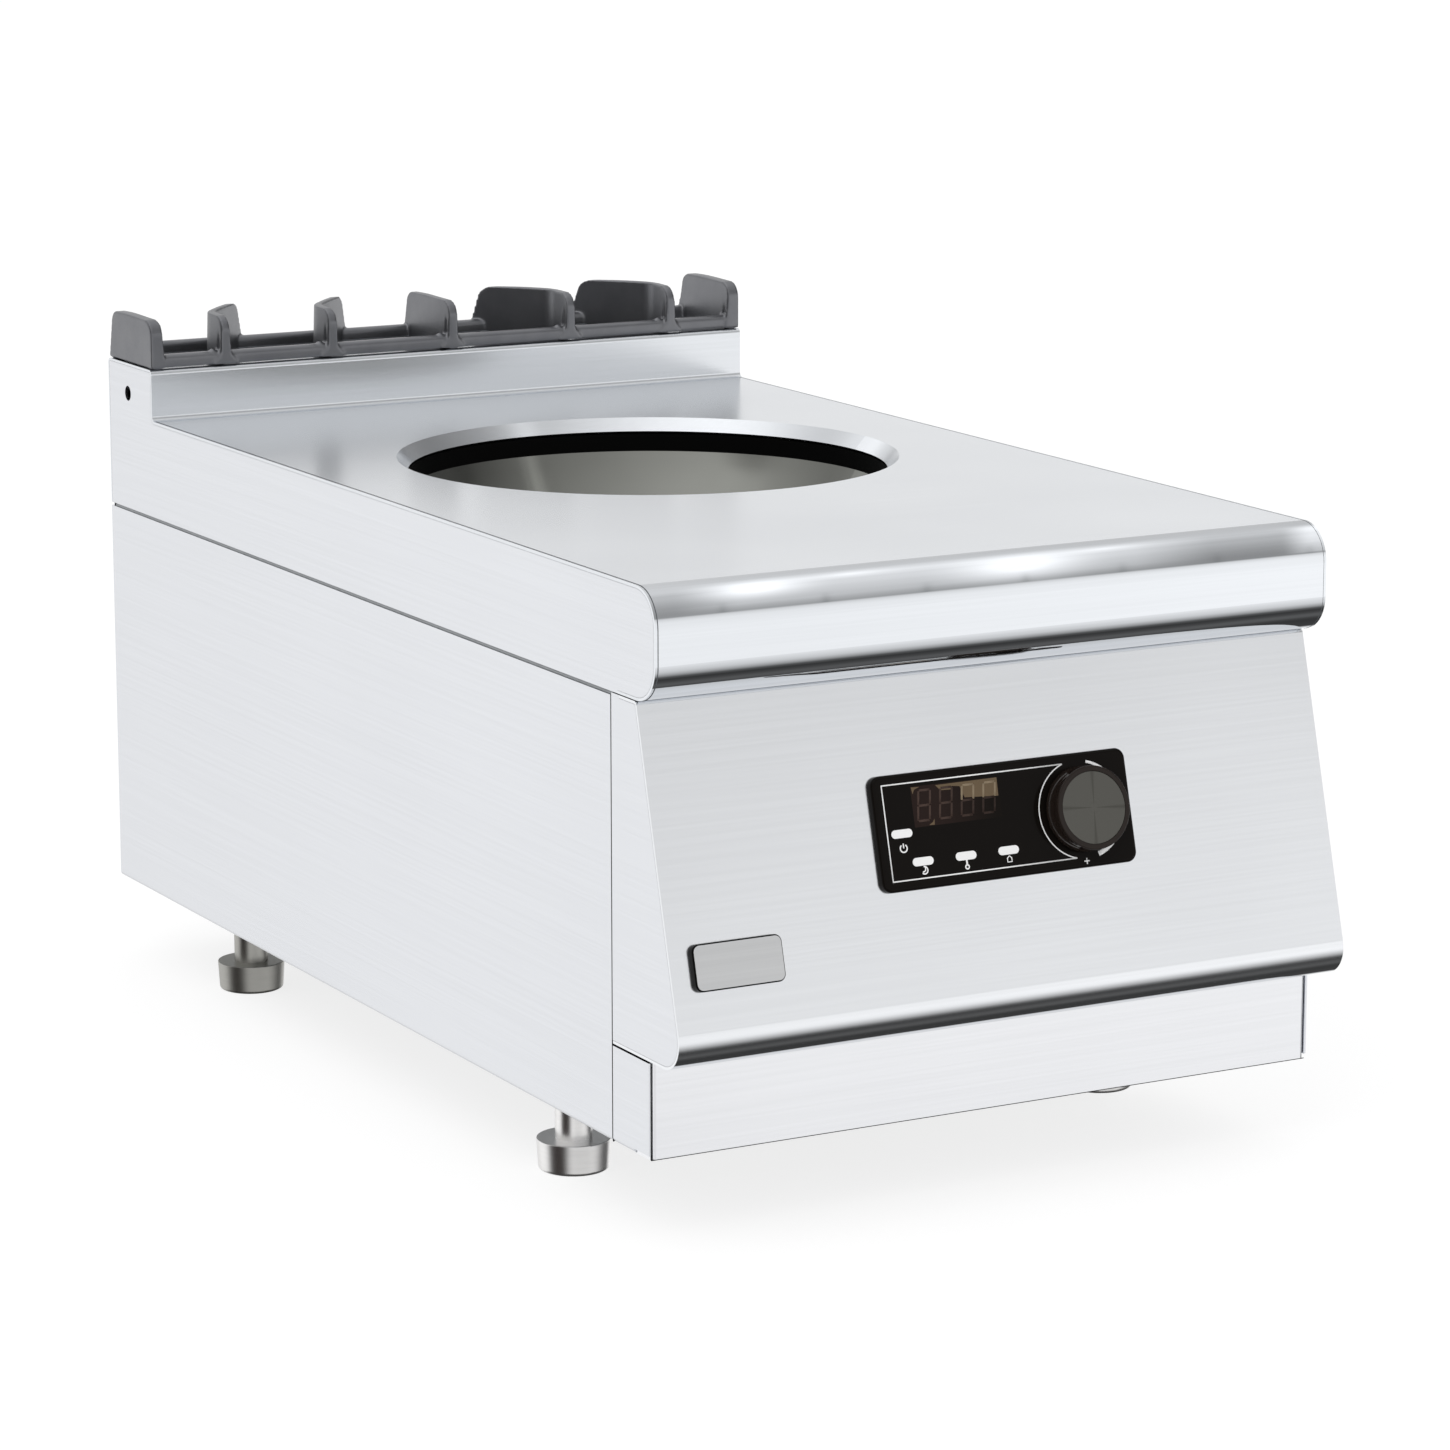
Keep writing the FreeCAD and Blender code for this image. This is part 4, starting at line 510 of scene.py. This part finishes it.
def flake(name, outlines, material, lift, thick):
    """Thin flat shapes on the cover, drawn by their corners in millimetres."""
    bm = bmesh.new()
    for outline in outlines:
        corners = [bm.verts.new((x * mm, y * mm, 0)) for x, y in outline]
        face = bm.faces.new(corners)
        raised = bmesh.ops.extrude_face_region(bm, geom=[face], use_keep_orig=True)
        tops = [item for item in raised["geom"] if isinstance(item, bmesh.types.BMVert)]
        bmesh.ops.translate(bm, vec=(0, 0, thick * mm), verts=tops)
    bmesh.ops.translate(bm, vec=(0, 0, cover_height + lift * mm), verts=bm.verts)
    bmesh.ops.transform(bm, matrix=slope, verts=bm.verts)
    piece = link_piece(name, bm, material)
    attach(piece, "body")


window = [(-99.8, 22.0), (-99.8, 1.2), (-47.9, 1.2), (-47.9, 22.0)]
flake("display_window", [window], smoked, -0.02, 0.03)
lit_corner = [(-99.4, 21.7), (-98.8, 18.2), (-97.6, 20.4), (-94.4, 21.5)]
lit_foot = [(-91.4, 1.6), (-88.1, 1.5), (-87.9, 4.6), (-88.9, 3.0)]
lit_field = [(-85.0, 21.4), (-82.4, 18.5), (-76.0, 18.3), (-75.4, 20.0), (-70.8, 19.4), (-68.6, 13.4),
             (-48.6, 12.2), (-48.4, 21.6)]
flake("display_painted_light_patches", [lit_corner, lit_foot, lit_field], painted_light_patch, 0.0, 0.025)
digit_x, digit_y, digit_pitch, digit_wide, digit_half = -97.5, 4.25, 12.9, 6.9, 7.7
digit_lean, segment, gap = 0.149, 1.25, 0.3
dark_strokes, light_strokes = [], []
for digit in range(4):
    x = digit_x + digit_pitch * digit
    bars = []
    for level in range(3):
        y = digit_y + digit_half * level
        bars.append((level == 2, [(x + gap, y), (x + digit_wide - gap, y)]))
        if level < 2:
            for bar_x in (x, x + digit_wide):
                bars.append((level == 1, [(bar_x, y + gap), (bar_x, y + digit_half - gap)]))
    for upper, ends in bars:
        slanted = [(end_x + (end_y - digit_y) * digit_lean, end_y) for end_x, end_y in ends]
        (light_strokes if upper and digit > 1 else dark_strokes).append((slanted, segment, segment, False))
printed("digit_segments", dark_strokes, unlit, 0.02)
printed("digit_segments_painted_lit", light_strokes, painted_lit_segment, 0.02)

# The knob: a black gloss moulding, pushed onto the encoder's shaft, with a spun metal disc let into its face.
# The lathe's grooves, half a millimetre apart, vary the disc's gloss; the faint cross of light over the disc
# is a painted highlight in its colour.
groove_turn, painted_cross_wide = 12000.0, 0.18
knob_black = moulding("black_gloss_knob", "#261f1b", 1.5, 0.1, 0.1, 0.004, specular=0.2)
clad(knob_black, "knob_body")
spun = blank(bpy.data.materials.new("spun_metal_disc"))
place = add_node(spun, "TexCoord")
seat = slope.inverted()
level_disc = add_node(spun, "Mapping", None, {"Vector": place.outputs["Object"], "Location": seat.translation,
                                              "Rotation": seat.to_euler()})
flat_place = add_node(spun, "SeparateXYZ", None, {0: level_disc.outputs[0]})
angle = add_node(spun, "Math", {"operation": "ARCTAN2"}, {0: flat_place.outputs["Y"],
                                                          1: flat_place.outputs["X"]})
# Painted highlight: the disc's colour is lightened along a cross of four rays.
cross_turn = add_node(spun, "Math", {"operation": "MULTIPLY_ADD"}, {0: angle.outputs[0], 1: 2.0, 2: 0.15})
cross = add_node(spun, "Math", {"operation": "SINE"}, {0: cross_turn.outputs[0]})
ray = add_node(spun, "Math", {"operation": "ABSOLUTE"}, {0: cross.outputs[0]})
painted_cross_highlight = add_node(spun, "MapRange", None, {"Value": ray.outputs[0], "From Max": painted_cross_wide})
radius = add_node(spun, "VectorMath", {"operation": "LENGTH"}, {0: level_disc.outputs[0]})
turns = add_node(spun, "Math", {"operation": "MULTIPLY"}, {0: radius.outputs["Value"], 1: groove_turn})
groove = add_node(spun, "Math", {"operation": "SINE"}, {0: turns.outputs[0]})
colour = add_node(spun, "Mix", {"data_type": "RGBA"}, {0: painted_cross_highlight.outputs[0], 6: srgb("#5c5b56"),
                                                       7: srgb("#6b6a65")})
gloss = add_node(spun, "MapRange", None, {"Value": groove.outputs[0], "From Min": -1.0, "To Min": 0.36,
                                          "To Max": 0.44})
disc = add_node(spun, "BsdfPrincipled", None, {"Base Color": colour.outputs[2], "Metallic": 1.0,
                                               "Roughness": gloss.outputs[0]})
add_node(spun, "OutputMaterial", None, {"Surface": disc.outputs[0]})
clad(spun, "knob_face")

# The light windows: four ovals of milk-white acrylic, snapped flush into the cover. They look white and soft.
lens_white = moulding("white_light_lens", "#ffffff", 1.0, 0.4, 0.02)
clad(lens_white, "led_lenses")

# The badge: a black moulded base with a brushed metal face, left bare, stuck to the fascia by foam tape.
badge_black = moulding("black_badge_base", "#0b0b0b", 1.0, 0.3, 0.1, 0.01, specular=0.1)
clad(badge_black, "badge_plate")
badge_metal = satin_steel("brushed_badge_face", "#e4e5e6", along_x, 0.36, 0.06)
badge_places = [slope.inverted() @ vertex.co for vertex in nodes["badge_plate"].data.vertices]
badge_left, badge_right = (pick(place.x for place in badge_places) for pick in (min, max))
badge_bottom, badge_top = (pick(place.y for place in badge_places) for pick in (min, max))
badge_front = max(place.z for place in badge_places)
rim, foil_thick, face_corner = 0.75 * mm, 0.05 * mm, 3.3 * mm
face_size = (badge_right - badge_left - 2 * rim, badge_top - badge_bottom - 2 * rim, 1)
bm = bmesh.new()
bmesh.ops.create_grid(bm, x_segments=1, y_segments=1, size=0.5)
bmesh.ops.scale(bm, vec=face_size, verts=bm.verts)
bmesh.ops.bevel(bm, geom=bm.verts[:], offset=face_corner, affect="VERTICES", segments=8, profile=0.5,
                material=-1)
raised = bmesh.ops.extrude_face_region(bm, geom=bm.faces[:], use_keep_orig=True)
tops = [item for item in raised["geom"] if isinstance(item, bmesh.types.BMVert)]
bmesh.ops.translate(bm, vec=(0, 0, foil_thick), verts=tops)
middle = ((badge_left + badge_right) / 2, (badge_bottom + badge_top) / 2, badge_front - foil_thick / 2)
bmesh.ops.translate(bm, vec=middle, verts=bm.verts)
bmesh.ops.transform(bm, matrix=slope, verts=bm.verts)
badge_face = link_piece("badge_face", bm, badge_metal)
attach(badge_face, "body")

# Beads of sealant in the joints of the sheet metal: a grey hairline where the worktop meets its end plates,
# and black ones between the side panels, the fascia's cheeks and the plinth. They are run in by hand and
# wiped, so they look matt and stand a fraction of a millimetre proud. The same black beads down the plinth's
# left corner and along its bottom edge are painted shade: dark lines where those edges turn away into shade.
sealant = moulding("grey_joint_sealant", "#5d6064", 0.8, 0.6, 0.2, 0.004)
black_sealant_and_painted_shade = moulding("black_joint_sealant_and_painted_shade", "#17181a", 0.8, 0.6, 0.2, 0.004, specular=0.1)


def bead(name, points, wide, material):
    """A round bead along points in millimetres."""
    piece = link_piece(name, drawn(name, [(points, wide, wide, False)]), material)
    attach(piece, "body")


nose_radius = 20.0
front_y, top_z, low_z = -341.0, 340.0, 282.0
profile = [(297.0, top_z), (front_y + nose_radius, top_z)]
profile += bend(nose_radius, 90, 180, (front_y + nose_radius, top_z - nose_radius))[1:]
profile += bend(nose_radius, 180, 270, (front_y + nose_radius, low_z + nose_radius))
profile += [(-300.0, low_z)]
worktop_half = 198.42
outside, gap_y, cheek_top_z, cheek_low_z = 199.5, -293.5, 281.0, 101.0
plinth_y, plinth_low_z, plinth_top_z, plinth_half = -332.9, 48.2, 98.8, 198.7
cheek_wide, lap_wide, corner_wide, hem_wide = 0.9, 0.8, 0.6, 0.5
for name, x, edge_x, wide in (("left", -outside, -worktop_half, 0.5), ("right", outside, worktop_half, 0.2)):
    bead("worktop_joint_" + name, [(edge_x, y, z) for y, z in profile], wide, sealant)
    down = [(x, gap_y, cheek_top_z), (x, gap_y, plinth_low_z)]
    bead("cheek_joint_" + name, down, cheek_wide, black_sealant_and_painted_shade)
    ahead = [(x, gap_y, cheek_low_z), (x, plinth_y + 1, cheek_low_z)]
    bead("plinth_joint_" + name, ahead, lap_wide, black_sealant_and_painted_shade)
# Painted shade: black lines down the plinth's left corner and along its bottom edge.
corner = (-plinth_half, plinth_y, plinth_low_z)
bead("plinth_corner_painted_shade", [(-plinth_half, plinth_y, plinth_top_z), corner], corner_wide, black_sealant_and_painted_shade)
bead("plinth_hem_painted_shade", [corner, (plinth_half, plinth_y, plinth_low_z)], hem_wide, black_sealant_and_painted_shade)

# The flue grate: cast iron under a thin grey-black enamel, lifted out to clean the outlet. Every edge and
# corner of a sand casting is soft, so the plain solid is melted to a fine even skin and eased. The sand gives
# the enamel a fine glitter, and thick and thin enamel give it cloudy tones.
grains, clouds, sand_deep = 1100.0, 60.0, 0.06 * mm
skin_voxel, ease_share, ease_rounds, kept_share = 0.85 * mm, 0.5, 3, 0.5
cast_iron = blank(bpy.data.materials.new("enamelled_cast_iron"))
place = add_node(cast_iron, "TexCoord")
sand = add_node(cast_iron, "TexNoise", None, {"Vector": place.outputs["Object"], "Scale": grains,
                                              "Detail": 3.0})
cloud = add_node(cast_iron, "TexNoise", None, {"Vector": place.outputs["Object"], "Scale": clouds,
                                               "Detail": 2.0})
colour = add_node(cast_iron, "Mix", {"data_type": "RGBA"}, {0: cloud.outputs["Fac"], 6: srgb("#74757a"),
                                                            7: srgb("#87888b")})
gloss = add_node(cast_iron, "MapRange", None, {"Value": sand.outputs["Fac"], "To Min": 0.28, "To Max": 0.44})
grit = add_node(cast_iron, "Bump", None, {"Height": sand.outputs["Fac"], "Strength": 0.35,
                                          "Distance": sand_deep})
skin = add_node(cast_iron, "BsdfPrincipled", None, {"Base Color": colour.outputs[2], "Metallic": 0.85,
                                                    "Roughness": gloss.outputs[0], "Normal": grit.outputs[0]})
add_node(cast_iron, "OutputMaterial", None, {"Surface": skin.outputs[0]})

bm = bmesh.new()
bm.from_mesh(nodes["flue_grate"].data)
bmesh.ops.remove_doubles(bm, verts=bm.verts, dist=same_point)
casting = link_piece("grate_casting", bm, cast_iron)
melt = casting.modifiers.new("melt", "REMESH")
melt.mode = "VOXEL"
melt.voxel_size = skin_voxel
melt.use_smooth_shade = True
ease = casting.modifiers.new("ease", "SMOOTH")
ease.factor = ease_share
ease.iterations = ease_rounds
thin = casting.modifiers.new("thin", "DECIMATE")
thin.ratio = kept_share
ready = bpy.data.meshes.new_from_object(casting.evaluated_get(bpy.context.evaluated_depsgraph_get()))
casting.modifiers.clear()
casting.data = ready
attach(casting, "grate")
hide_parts("flue_grate")
